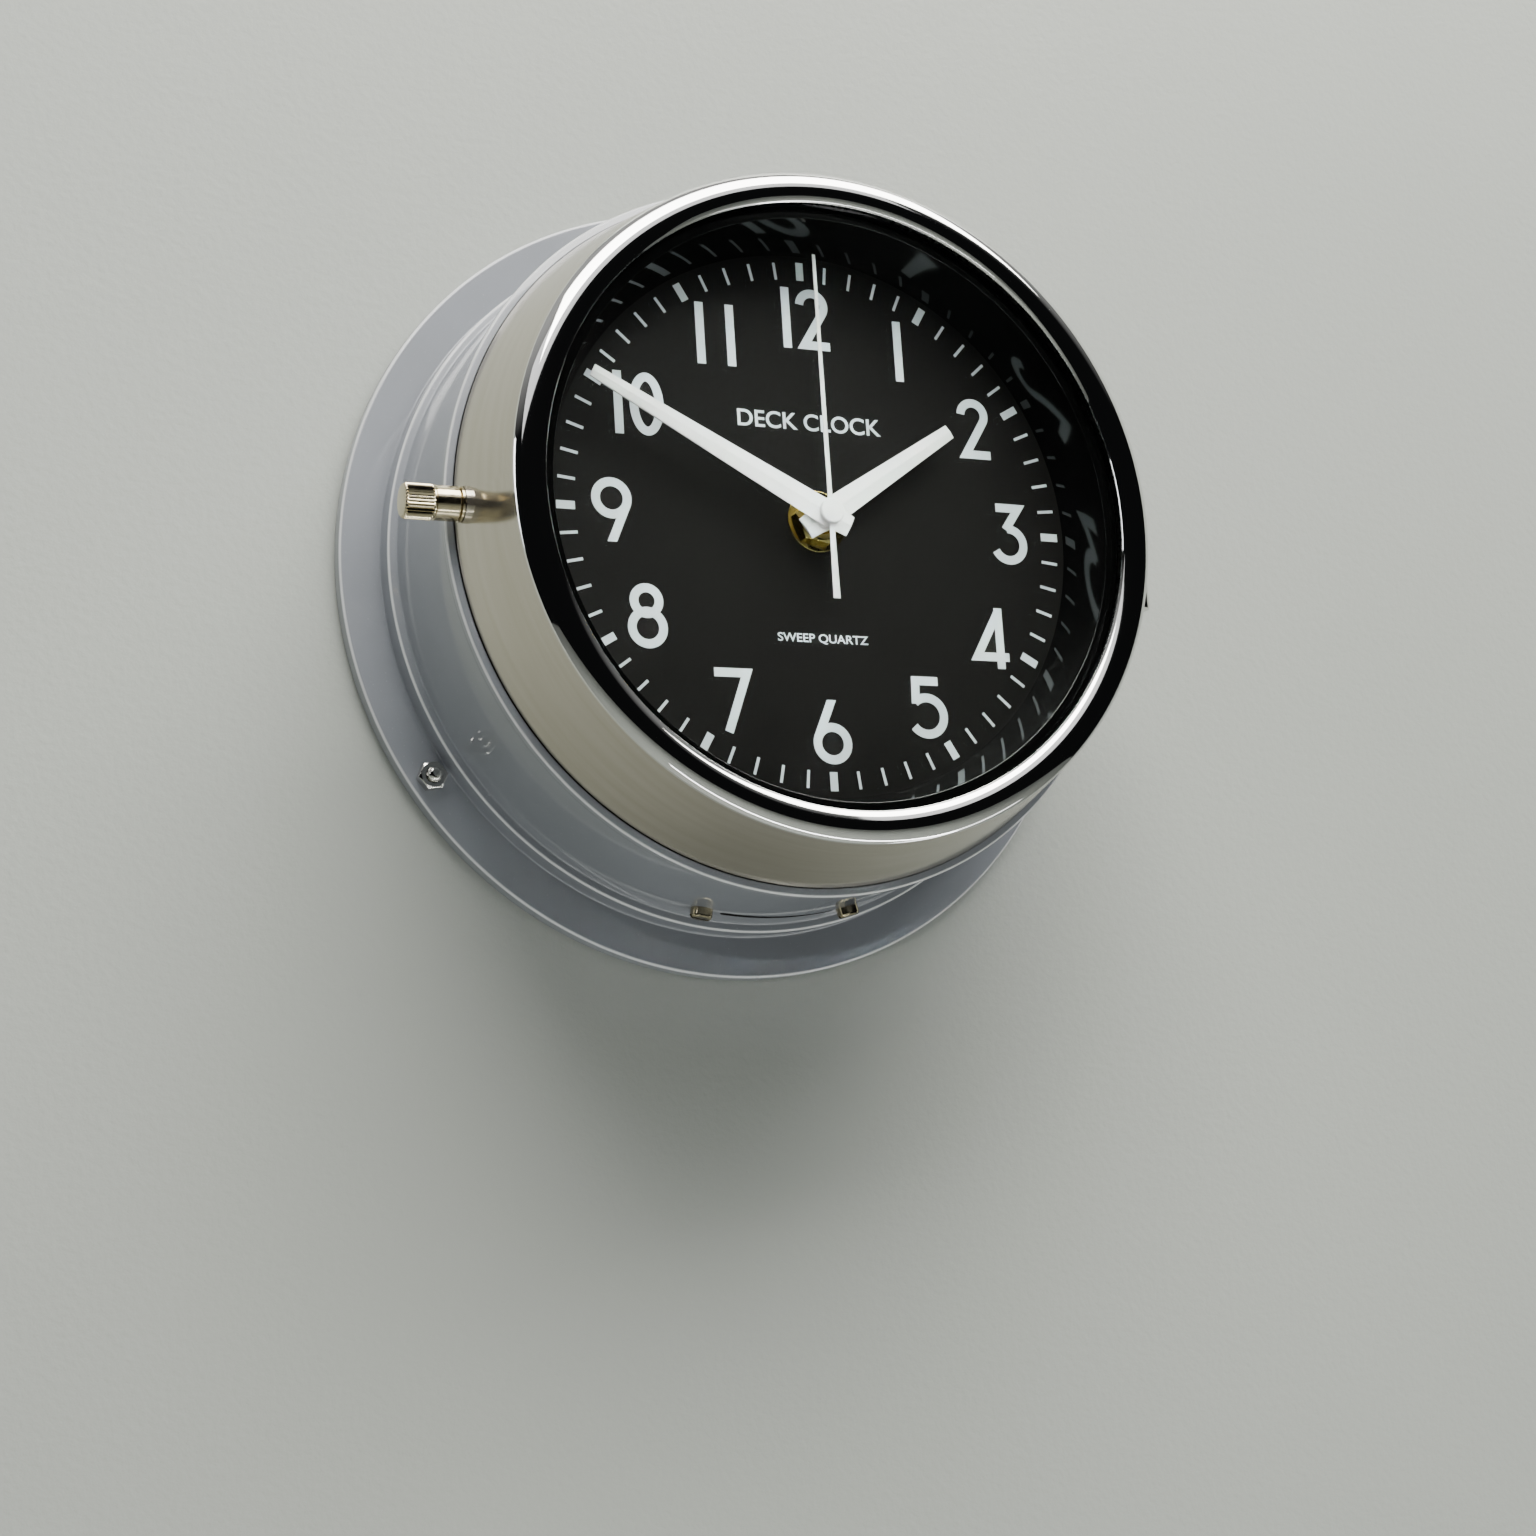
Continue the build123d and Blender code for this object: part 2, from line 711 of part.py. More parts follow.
def bush_rubber():
    """Rubber washer between the movement and the dial."""
    return ring(bush_radius, 9.0, movement_front, neck_front)


def bush_washer():
    """Brass washer on the dial."""
    back = neck_front + dial_thickness
    front = back + dial_washer_thickness
    edge = [(washer_radius, back), (washer_radius, front, 0.25)]
    return turned([(bush_radius, back), *edge, (bush_radius, front)])


def bush_nut():
    """Brass hexagon nut on the bush."""
    seat = neck_front + dial_thickness + dial_washer_thickness
    return hexagon(nut_flats, seat, seat + nut_height, bush_radius)


def train_bridge():
    """Middle plate that carries the front pivots of the train."""
    body = block((-26.6, 20.6), (-11.3, 26.6), *bridge_layer)
    holes = ((second_place, 0.56), (third_place, 0.46), (between_place, 0.46), (rotor_place, 0.46),
             (setting_place, setting_radius + 0.08))
    back, front = bridge_layer
    for place, radius in holes:
        body -= disc(radius, back - 1, front + 1, *place)
    return body


def works_post():
    """Fixed post that the minute-works wheel turns on."""
    return disc(0.6, works_wheel_layer[0] - 0.4, movement_front - movement_skin + 0.6, *works_place)


def circuit_board():
    """Small printed board on two moulded pads."""
    return block((-26.0, -13.0), (-11.0, 25.0), *board_layer)


def crystal():
    """Quartz crystal can lying on the board."""
    return Pos(-22.0, -board_layer[1] - 1.0, 12.0) * Cylinder(1.0, 7.0)


def chip():
    """Sealed chip on the board."""
    body = block((-21.0, -17.0), (-2.0, 2.0), board_layer[1], board_layer[1] + 1.0)
    return fillet(body.edges().filter_by(Axis.Y), 0.4)


def stator():
    """Soft-iron plate round the rotor with two legs to the coil."""
    x, z = rotor_place
    body = disc(4.9, *stator_layer, x, z) + block((14.0, 18.8), (-10.4, 22.4), *stator_layer)
    for low in (-10.4, 20.0):
        body += block((14.0, 26.4), (low, low + 2.4), *stator_layer)
    return body - disc(3.4, 50, 56, x, z)


def coil_bobbin():
    """Bobbin with its iron core between the stator's legs."""
    cheek_offset = (winding_length + cheek_thickness) / 2
    body = Pos(coil_x, -coil_depth, coil_z) * Cylinder(core_radius, winding_length + 2 * cheek_thickness)
    for z in (coil_z - cheek_offset, coil_z + cheek_offset):
        body += Pos(coil_x, -coil_depth, z) * Cylinder(cheek_radius, cheek_thickness)
    return body


def coil_winding():
    """Enamelled copper winding."""
    sleeve = Cylinder(winding_radius, winding_length) - Cylinder(core_radius, winding_length + 2)
    return Pos(coil_x, -coil_depth, coil_z) * sleeve


def battery_contacts():
    """Sprung contact plates at the ends of the battery bay."""
    height = (battery_z - 5, battery_z + 5)
    end, thick = battery_length / 2 + 0.45, 0.5
    span = (49.5, 61.0)
    return [block((-end - thick, -end), height, *span), block((end, end + thick), height, *span)]


def battery():
    """AA cell with its positive cap."""
    half = battery_length / 2
    cell = Cylinder(battery_radius, battery_length - battery_cap_height, rotation=(0, 90, 0))
    cell = fillet(cell.edges().filter_by(GeomType.CIRCLE), 0.5)
    cap = Cylinder(battery_cap_radius, battery_cap_height, rotation=(0, 90, 0))
    shift = battery_cap_height / 2
    return Pos(0, -battery_depth, battery_z) * (Pos(-shift, 0, 0) * cell + Pos(half - shift, 0, 0) * cap)


# ---------------------------------------------------------------- wheels
def second_wheel():
    """Seconds arbor with its wheel and pinion."""
    body = disc(second_arbor_radius, 48.5, second_hand_depth + 0.5)
    body += gear(50, train_module, second_wheel_layer)
    return body + gear(8, train_module, second_pinion_layer, phase=second_pinion_phase)


def centre_wheel():
    """Centre wheel, cannon pinion and minute tube."""
    body = disc(minute_tube_radius, 57.6, 74.7)
    body += gear(80, centre_module, centre_wheel_layer, phase=centre_phase)
    body += gear(12, train_module, cannon_pinion_layer)
    return body - disc(minute_tube_bore, 50, 80)


def hour_wheel():
    """Hour wheel with its tube."""
    body = disc(hour_tube_radius, hour_wheel_layer[0], 72.3) + gear(40, motion_module, hour_wheel_layer)
    return body - disc(hour_tube_bore, 50, 80)


def third_wheel():
    """Third arbor with its wheel and pinion."""
    x, z = third_place
    body = disc(arbor_radius, arbor_foot, movement_front - 0.8, x, z)
    body += gear(60, train_module, third_wheel_layer, x, z, third_phase)
    return body + gear(10, centre_module, third_pinion_layer, x, z, third_pinion_phase)


def between_wheel():
    """Intermediate arbor between the rotor and the seconds wheel."""
    x, z = between_place
    body = disc(arbor_radius, arbor_foot, rear_arbor_end, x, z)
    body += gear(48, train_module, between_wheel_layer, x, z, between_phase)
    return body + gear(10, train_module, between_pinion_layer, x, z, between_pinion_phase)


def rotor():
    """Stepper rotor: magnet, pinion and arbor."""
    x, z = rotor_place
    body = disc(arbor_radius, arbor_foot, rear_arbor_end, x, z)
    body += gear(8, train_module, rotor_pinion_layer, x, z, rotor_phase)
    return body + disc(magnet_radius, *magnet_layer, x, z)


def works_wheel():
    """Minute-works wheel and pinion, bored for its post."""
    x, z = works_place
    body = gear(36, train_module, works_wheel_layer, x, z, works_phase)
    body += gear(10, motion_module, works_pinion_layer, x, z, works_pinion_phase)
    return body - disc(0.65, 55, 65, x, z)


def setting_wheel():
    """Setting arbor and pinion that mesh with the minute works."""
    x, z = setting_place
    arbor = disc(setting_radius, 46.9, 62.4, x, z)
    return arbor + gear(20, train_module, works_wheel_layer, x, z, setting_phase)


def setting_knob():
    """Knob on the back of the movement for setting the hands."""
    x, z = setting_place
    knob = disc(knob_radius, 42.6, 46.6, x, z)
    for i in range(knob_grooves):
        px, pz = clock_point(knob_radius + 0.2, i * 360 / knob_grooves)
        knob -= disc(0.5, 42, 47, x + px, z + pz)
    return knob - disc(setting_radius, 45, 50, x, z) + disc(setting_radius, 45.9, 46.9, x, z)


# ---------------------------------------------------------------- hands
def tapered_hand(length, tail, root_width, tip_width, hub, bore, back, angle):
    """Flat-ended hand, widest at the hub, folded to a shallow ridge along its middle."""
    thick, ridge = 0.4, 0.35
    tail_width = root_width * 0.8
    ends = [(-tail, tail_width / 2), (0.0, root_width / 2), (length, tip_width / 2)]
    left = [(-w, z) for z, w in ends]
    right = [(w, z) for z, w in reversed(ends)]
    plate = extrude(Plane.XZ.location * outline(left + right), thick + ridge, dir=(0, -1, 0))
    roof_face = outline([(-root_width, -thick + 0.6), (0, -thick - ridge), (root_width, -thick + 0.6),
                         (root_width, 1), (-root_width, 1)])
    roof = Pos(0, 0, -tail - 1) * extrude(roof_face, length + tail + 2, dir=(0, 0, 1))
    hand = Pos(0, -back, 0) * (plate & roof) + disc(hub, back - 0.3, back + 0.6)
    hand -= disc(bore, back - 3, back + 3)
    return clock_place(hand, angle)


def hour_hand():
    """Hour hand on the hour tube."""
    return tapered_hand(hour_hand_length, hand_tail, 7.4, 3.9, 3.6, hour_tube_radius, hour_hand_depth,
                        hour_angle)


def minute_hand():
    """Minute hand on the minute tube."""
    return tapered_hand(minute_hand_length, hand_tail, 7.2, 3.3, 2.6, minute_tube_radius, minute_hand_depth,
                        minute_angle)


def second_hand():
    """Thin seconds hand with a counterweight tail."""
    face = outline([(-0.95, -23.0), (-0.62, 0.0), (-0.42, second_hand_length), (0.42, second_hand_length),
                    (0.62, 0.0), (0.95, -23.0)])
    hand = extrude(Plane.XZ.location * face, 0.3, dir=(0, -1, 0))
    hand = Pos(0, -second_hand_depth, 0) * hand - disc(second_arbor_radius, 70, 80)
    return clock_place(hand, second_angle)


def second_cap():
    """Round cap pressed on the seconds arbor in front of the hand."""
    face = second_hand_depth + 0.3
    cap = turned([(0, face), (3.3, face), (3.3, face + 1.2, 0.5), (0, face + 1.5)])
    collar = ring(second_arbor_radius, 1.3, 74.95, second_hand_depth)
    return cap - disc(second_arbor_radius, 70, 75.9), collar


os.makedirs("parts", exist_ok=True)
makers = (
    wall_plate, wall_studs, flange_nuts, plate_gasket, rear_case, slot_cover, slot_screws, slot_nuts,
    front_gasket, dial, dial_surround, surround_screws, bezel, screw_pad, glass, glass_gasket,
    retaining_ring, case_hinge_leaf, hinge_pin, hinge_screws, bezel_hinge_leaf, hinge_rivets,
    thumb_screw, screw_washer, screw_insert, movement_back_cover, movement_front_cover, centre_bush,
    bush_rubber, bush_washer, bush_nut, train_bridge, works_post, circuit_board, crystal, chip, stator,
    coil_bobbin, coil_winding, battery_contacts, battery, second_wheel, centre_wheel, hour_wheel,
    third_wheel, between_wheel, rotor, works_wheel, setting_wheel, setting_knob, hour_hand, minute_hand,
    second_hand, second_cap,
)
for maker in makers:
    made = maker()
    save(maker.__name__, *(made if isinstance(made, (list, tuple)) else [made]))
print(len(makers), "nodes")
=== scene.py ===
import json
import math

import bmesh
import bpy
import numpy as np
from mathutils import Matrix, Vector

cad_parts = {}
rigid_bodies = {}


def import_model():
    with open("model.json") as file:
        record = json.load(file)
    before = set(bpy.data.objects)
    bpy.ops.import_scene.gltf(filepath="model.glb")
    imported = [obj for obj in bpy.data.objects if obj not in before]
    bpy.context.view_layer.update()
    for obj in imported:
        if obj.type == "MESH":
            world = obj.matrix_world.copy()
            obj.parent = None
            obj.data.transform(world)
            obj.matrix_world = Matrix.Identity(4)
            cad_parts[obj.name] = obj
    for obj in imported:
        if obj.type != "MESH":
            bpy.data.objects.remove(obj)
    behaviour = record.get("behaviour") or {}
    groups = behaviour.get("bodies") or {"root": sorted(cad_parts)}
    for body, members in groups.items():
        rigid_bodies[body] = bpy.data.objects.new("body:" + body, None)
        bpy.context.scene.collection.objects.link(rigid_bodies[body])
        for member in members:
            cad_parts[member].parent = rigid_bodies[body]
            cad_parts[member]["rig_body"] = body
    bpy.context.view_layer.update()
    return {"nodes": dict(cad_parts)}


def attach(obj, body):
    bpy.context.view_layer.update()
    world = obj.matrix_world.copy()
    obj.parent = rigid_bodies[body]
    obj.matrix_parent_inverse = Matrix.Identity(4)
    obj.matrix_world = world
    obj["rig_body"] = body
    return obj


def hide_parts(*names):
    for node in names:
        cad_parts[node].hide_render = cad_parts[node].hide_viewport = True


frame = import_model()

# Ship's deck clock on a bulkhead.  The clock's axis is Y, the wall is Y = 0 and the dial faces -Y.
# +Z is 12 o'clock and +X is 3 o'clock.  Shapes are given in millimetres; "depth" is the distance out
# from the wall, so a point's Y is minus its depth.
MM = 0.001
nodes = frame["nodes"]

# ---------------------------------------------------------------- sizes, millimetres
foot_radius = 98.7
flange_front = 4.8
foot_front = 11.5
drum_radius = 95.8
drum_wall = 2.8
drum_front = 54.0
bead_proud = 0.6
neck_radius = 88.5
neck_wall = 2.2
neck_front = 64.9
rebate_width = 1.8
rebate_depth = 1.6
shoulder_wall = 3.5
flange_recess = 2.0
flange_recess_radius = 106.8
flange_radius = 110.0
ledge_radius = 80.0
ledge_thickness = 2.0
stud_circle = 104.0
stud_angles = (117.0, 237.0, 357.0)
stud_radius = 2.0
stud_end = 9.9
flange_nut_flats = 7.0
flange_nut_height = 3.2
flange_nut_turns = (12.0, -8.0, 21.0)
slot_angle = 178.3
slot_length = 33.0
slot_width = 2.5
slot_depth = 19.7
slot_floor = 92.0
slot_screw_angles = (166.0, 191.5)
slot_screw_depth = 20.5
slot_head_radius = 3.0
slot_head_height = 2.7
slot_head_round = 0.8
slot_cut_half = 0.4
slot_cut_depth = 1.2
slot_shank_radius = 1.75
slot_shank_length = 9.0
dial_front = 66.4
dial_radius = 86.2
dial_bore = 4.2
surround_foot = 73.0
surround_mouth = 77.3
surround_front = 81.8
surround_seat_radius = 80.6
surround_seat_depth = 1.4
surround_base = 1.5
bezel_back = 54.6
bezel_back_radius = 94.2
bezel_corner_depth = 84.6
bezel_corner_radius = 88.4
bezel_wall = 1.8
rim_crown_depth = 86.6
rim_crown_radius = 84.4
rim_lip_radius = 80.1
rim_lip_depth = 85.35
lip_roll = 0.4
lip_back = 84.8
glass_back = 82.2
glass_front = 84.4
glass_radius = 86.0
thumb_depth = 61.0
thumb_radius = 4.5
thumb_face = 95.05
thumb_knurl_start = 101.9
thumb_end = 109.5
thumb_teeth = 30
knurl_depth = 0.4
thumb_shank_radius = 2.0
thumb_shank_end = 82.0
thumb_clearance = 0.35
hour_angle = 56.0
minute_angle = 298.0
second_angle = 0.0
hour_back = 71.4
minute_back = 73.6
second_back = 75.4
second_length = 70.0
second_tail = 23.0
hand_crease = 0.8
hand_fall = 1.35
cap_radius = 3.3
cap_back = 75.7
cap_front = 77.2
collar_radius = 1.3
collar_back = 74.95
bush_radius = 4.0
bush_washer_radius = 8.3
bush_washer_thickness = 0.6
bush_nut_flats = 12.0
bush_nut_height = 2.4
print_height = 0.05
numeral_height = 16.8
numeral_stroke = 2.3
mark_foot = 66.35
hour_mark_tip = 71.3
minute_mark_tip = 71.0
hour_mark_width = 2.1
minute_mark_width = 0.75


# ---------------------------------------------------------------- nodes of a material
def linear(code):
    """Linear colour of an sRGB hex code."""
    srgb = np.array([int(code[i:i + 2], 16) for i in (1, 3, 5)]) / 255
    low, high = srgb / 12.92, ((srgb + 0.055) / 1.055) ** 2.4
    return (*np.where(srgb <= 0.04045, low, high), 1.0)


def add(tree, kind, inputs=None, **settings):
    """One node with its settings, its values and its links."""
    node = tree.nodes.new(kind)
    for name, value in settings.items():
        setattr(node, name, value)
    for name, value in (inputs or {}).items():
        if isinstance(value, bpy.types.NodeSocket):
            tree.links.new(value, node.inputs[name])
        else:
            node.inputs[name].default_value = value
    return node


def finish(name, place="Object", **values):
    """Material with one Principled shader; gives the material, its tree, the shader, the pattern
    coordinates and the output.  Object coordinates are in metres and the turning UV map in millimetres."""
    material = bpy.data.materials.new(name)
    material.use_nodes = True
    tree = material.node_tree
    tree.nodes.clear()
    inputs = {key.replace("_", " "): value for key, value in values.items()}
    shader = add(tree, "ShaderNodeBsdfPrincipled", inputs)
    output = add(tree, "ShaderNodeOutputMaterial", {"Surface": shader.outputs["BSDF"]})
    if place == "Object":
        where = add(tree, "ShaderNodeTexCoord").outputs["Object"]
    else:
        where = add(tree, "ShaderNodeUVMap", uv_map=place).outputs["UV"]
    return material, tree, shader, where, output


def grain(tree, where, size, detail=3.0, roughness=0.55, stretch=None):
    """Noise whose features are about size across, in its coordinates' own unit: metres on Object
    coordinates and millimetres on the turning UV map.  stretch scales the coordinates first."""
    if stretch is not None:
        where = add(tree, "ShaderNodeMapping", {"Vector": where, "Scale": stretch}).outputs["Vector"]
    inputs = {"Vector": where, "Scale": 1 / size, "Detail": detail, "Roughness": roughness}
    return add(tree, "ShaderNodeTexNoise", inputs).outputs["Fac"]


def spread(tree, value, low, high, start=0.3, end=0.7):
    """Stretches a value from start..end to low..high."""
    inputs = {"Value": value, "From Min": start, "From Max": end, "To Min": low, "To Max": high}
    return add(tree, "ShaderNodeMapRange", inputs).outputs["Result"]


def blend(tree, factor, first, second):
    """Colour between two hex codes or sockets."""
    pair = [linear(c) if isinstance(c, str) else c for c in (first, second)]
    mix = add(tree, "ShaderNodeMix", data_type="RGBA")
    for index, value in ((0, factor), (6, pair[0]), (7, pair[1])):
        if isinstance(value, bpy.types.NodeSocket):
            tree.links.new(value, mix.inputs[index])
        else:
            mix.inputs[index].default_value = value
    return mix.outputs[2]


def relief(tree, shader, height, distance, strength=1.0, socket="Normal"):
    """Bump whose full height is distance millimetres."""
    bump = add(tree, "ShaderNodeBump", {"Height": height, "Distance": distance * MM, "Strength": strength})
    tree.links.new(bump.outputs["Normal"], shader.inputs[socket])
    return bump


def stove_enamel(arrises):
    """Grey stove enamel sprayed on steel: a deep gloss coat with a soft orange peel and a little dust.
    Along the rounded edges it carries painted highlights: near-white lines up to 0.65 mm each side of the
    arrises, their places along the section in millimetres."""
    material, tree, shader, where, _ = finish(
        "grey stove enamel", Roughness=0.42, Coat_Weight=1.0, Coat_Roughness=0.045, Coat_IOR=1.5)
    cloud = grain(tree, where, 38 * MM, 4.0)
    dust = grain(tree, where, 0.7 * MM, 2.0)
    tone = blend(tree, spread(tree, cloud, 0, 1), "#787C82", "#7F838A")
    specks = spread(tree, dust, 0.0, 0.35, 0.68, 0.8)
    tone = blend(tree, specks, tone, "#B9BBBC")
    turning = add(tree, "ShaderNodeUVMap", uv_map="turning").outputs["UV"]
    along = add(tree, "ShaderNodeSeparateXYZ", {"Vector": turning}).outputs["Y"]
    # painted highlights: within 0.65 mm of each arris the tone runs to near-white #E6E8E8, standing in for
    # the lamps' reflections along the rounded edges
    for place in arrises:
        apart = add(tree, "ShaderNodeMath", {0: along, 1: place}, operation="SUBTRACT").outputs["Value"]
        apart = add(tree, "ShaderNodeMath", {0: apart}, operation="ABSOLUTE").outputs["Value"]
        tone = blend(tree, spread(tree, apart, 0.65, 0.0, 0.15, 0.55), tone, "#E6E8E8")
    tree.links.new(tone, shader.inputs["Base Color"])
    peel = grain(tree, where, 2.6 * MM, 1.5)
    relief(tree, shader, peel, 0.006, socket="Coat Normal")
    relief(tree, shader, peel, 0.004)
    return material


def spun_nickel():
    """Nickel-plated brass bezel: the skirt is finished with fine emery on the lathe, so it has long
    rings that blur reflections across them more than along them, and the rim is buffed to a mirror from
    0.9 mm behind its corner.  The emery's scratches are about 0.05 mm apart and are drawn 0.2 mm
    apart, so that they show."""
    material, tree, shader, where, _ = finish(
        "spun nickel plate", place="turning", Anisotropic=0.4, Anisotropic_Rotation=0.25)
    around = add(tree, "ShaderNodeTangent", direction_type="RADIAL", axis="Y").outputs["Tangent"]
    tree.links.new(around, shader.inputs["Tangent"])
    rings = grain(tree, where, 1.0, 4.0, 0.7, stretch=(0.012, 5.0, 1.0))
    broad = grain(tree, where, 1.0, 2.0, 0.5, stretch=(0.02, 0.35, 1.0))
    place = add(tree, "ShaderNodeTexCoord").outputs["Object"]
    outward = add(tree, "ShaderNodeSeparateXYZ", {"Vector": place}).outputs["Y"]
    satin_end, mirror_start = -(bezel_corner_depth - 0.9) * MM, -(bezel_corner_depth - 0.1) * MM
    buffed = spread(tree, outward, 0.0, 1.0, satin_end, mirror_start)
    satin = spread(tree, rings, 0.13, 0.19)
    tree.links.new(spread(tree, buffed, 0.94, 1.0, 0.0, 1.0), shader.inputs["Metallic"])
    rough = add(tree, "ShaderNodeMix", {"Factor": buffed, "A": satin, "B": 0.05}, data_type="FLOAT")
    tree.links.new(rough.outputs["Result"], shader.inputs["Roughness"])
    warm = blend(tree, spread(tree, broad, 0, 1), "#B9B3A4", "#C2BCAF")
    tree.links.new(blend(tree, buffed, warm, "#E4E4E3"), shader.inputs["Base Color"])
    flat = add(tree, "ShaderNodeMath", {0: 1.0, 1: buffed}, operation="SUBTRACT").outputs["Value"]
    lines = add(tree, "ShaderNodeMath", {0: rings, 1: flat}, operation="MULTIPLY").outputs["Value"]
    relief(tree, shader, lines, 0.003)
    return material


def bright_plate(name, light, dark, roughness, peel=0.004):
    """Bright plated small part: nearly a mirror, with faint clouding from the plating bath."""
    material, tree, shader, where, _ = finish(name, Metallic=1.0)
    cloud = grain(tree, where, 1.6 * MM, 3.0)
    tree.links.new(blend(tree, spread(tree, cloud, 0, 1), light, dark), shader.inputs["Base Color"])
    tree.links.new(spread(tree, cloud, roughness * 0.7, roughness * 1.4), shader.inputs["Roughness"])
    relief(tree, shader, grain(tree, where, 0.35 * MM, 2.0), peel)
    return material


def moulded(name, light, dark, roughness, texture=0.25, height=0.01, **values):
    """Moulded plastic or rubber: an even colour with the fine sparkle of the tool's texture."""
    material, tree, shader, where, _ = finish(name, **values)
    cloud = grain(tree, where, 9 * MM, 3.0)
    tree.links.new(blend(tree, spread(tree, cloud, 0, 1), light, dark), shader.inputs["Base Color"])
    fine = grain(tree, where, texture * MM, 2.0)
    tree.links.new(spread(tree, fine, roughness * 0.85, roughness * 1.15), shader.inputs["Roughness"])
    relief(tree, shader, fine, height)
    return material


def dial_lacquer():
    """Satin black lacquer on the aluminium dial: a warm black with a powdery fine grain."""
    material, tree, shader, where, _ = finish("satin black dial lacquer", Specular_IOR_Level=0.12)
    fine = grain(tree, where, 0.28 * MM, 2.0)
    broad = grain(tree, where, 30 * MM, 3.0)
    tone = blend(tree, spread(tree, broad, 0, 1), "#0D0C0B", "#11100F")
    powder = spread(tree, fine, 0, 1, 0.45, 0.75)
    tree.links.new(blend(tree, powder, tone, "#161514"), shader.inputs["Base Color"])
    tree.links.new(spread(tree, fine, 0.42, 0.55), shader.inputs["Roughness"])
    relief(tree, shader, fine, 0.006)
    return material


def clear_glass():
    """Flat clock glass: clear, with a mirror gloss over it that grows towards grazing angles from 0.045
    by Schlick's fifth power, share = 0.045 + 0.955 * facing^5."""
    material, tree, shader, where, output = finish(
        "clear float glass", Base_Color=linear("#FFFFFF"), Metallic=1.0, Roughness=0.01)
    relief(tree, shader, grain(tree, where, 60 * MM, 1.0), 0.01)
    facing = add(tree, "ShaderNodeLayerWeight", {"Blend": 0.5}).outputs["Facing"]
    fifth = add(tree, "ShaderNodeMath", {0: facing, 1: 5.0}, operation="POWER").outputs["Value"]
    least = 0.045
    grown = add(tree, "ShaderNodeMath", {0: fifth, 1: 1 - least, 2: least}, operation="MULTIPLY_ADD")
    share = grown.outputs["Value"]
    clear = add(tree, "ShaderNodeBsdfTransparent", {"Color": linear("#FCFEFD")})
    both = add(tree, "ShaderNodeMixShader", {
        0: share, 1: clear.outputs["BSDF"], 2: shader.outputs["BSDF"]})
    tree.links.new(both.outputs["Shader"], output.inputs["Surface"])
    return material


def copper_winding():
    """Enamelled copper wire wound on the bobbin: fine bright turns.  The wire is 0.12 mm thick, and its
    turns are drawn 0.24 mm apart, so that they show."""
    material, tree, shader, where, _ = finish("enamelled copper wire", Metallic=1.0, Roughness=0.3)
    wire = 0.12 * MM
    inputs = {"Vector": where, "Scale": 1 / (wire * 2 * math.pi), "Distortion": 0.3}
    turns = add(tree, "ShaderNodeTexWave", inputs, bands_direction="Z").outputs["Fac"]
    tree.links.new(blend(tree, turns, "#7A3018", "#C4683C"), shader.inputs["Base Color"])
    relief(tree, shader, turns, 0.04)
    return material


def cell_wrap():
    """Printed film shrunk round the battery cell: a smooth gloss, black over most of the can and copper
    coloured at the positive end, beyond 10 mm from the clock's middle."""
    material, tree, shader, where, _ = finish("battery film", Roughness=0.28, Coat_Weight=0.4)
    along = add(tree, "ShaderNodeSeparateXYZ", {"Vector": where}).outputs["X"]
    band = spread(tree, along, 0, 1, 9.9 * MM, 10.1 * MM)
    cloud = grain(tree, where, 3 * MM, 2.0)
    body = blend(tree, spread(tree, cloud, 0, 1), "#17181A", "#1F2022")
    tree.links.new(blend(tree, band, body, "#A8683A"), shader.inputs["Base Color"])
    relief(tree, shader, grain(tree, where, 0.5 * MM, 2.0), 0.01)
    return material


def emulsion():
    """Matt wall paint over smooth plaster, with the fine peel of a foam roller.  Seen from behind it is
    clear, so that the clock's back shows."""
    material, tree, shader, where, output = finish("pale wall emulsion", Roughness=0.62)
    broad = grain(tree, where, 400 * MM, 3.0)
    tree.links.new(blend(tree, spread(tree, broad, 0, 1), "#A0A59F", "#A6AAA4"), shader.inputs["Base Color"])
    relief(tree, shader, grain(tree, where, 2.2 * MM, 3.0), 0.16)
    behind = add(tree, "ShaderNodeNewGeometry").outputs["Backfacing"]
    clear = add(tree, "ShaderNodeBsdfTransparent")
    both = add(tree, "ShaderNodeMixShader", {
        0: behind, 1: shader.outputs["BSDF"], 2: clear.outputs["BSDF"]})
    tree.links.new(both.outputs["Shader"], output.inputs["Surface"])
    return material


# Plated and bare metals: nickel, zinc and brass mirror the room in their own tints, the springs and the
# stator only as a soft sheen, and the galvanised plate as a dull grey.
nickel_bezel = spun_nickel()
chrome = bright_plate("bright nickel plate", "#D2D1CC", "#DEDDD9", 0.1)
warm_nickel = bright_plate("thin nickel over brass", "#B9AD8E", "#CBC1A6", 0.14)
zinc = bright_plate("bright zinc plate", "#C4C8CC", "#D5D8DA", 0.14)
brass = bright_plate("polished brass", "#D8C272", "#E8D896", 0.12)
spring_steel = bright_plate("spring steel", "#9C9C98", "#AFAEAA", 0.28, 0.001)
soft_iron = bright_plate("annealed soft iron", "#77756F", "#8A8882", 0.42)
galvanised = bright_plate("galvanised sheet steel", "#A3A8AB", "#BEC2C4", 0.38, 0.02)
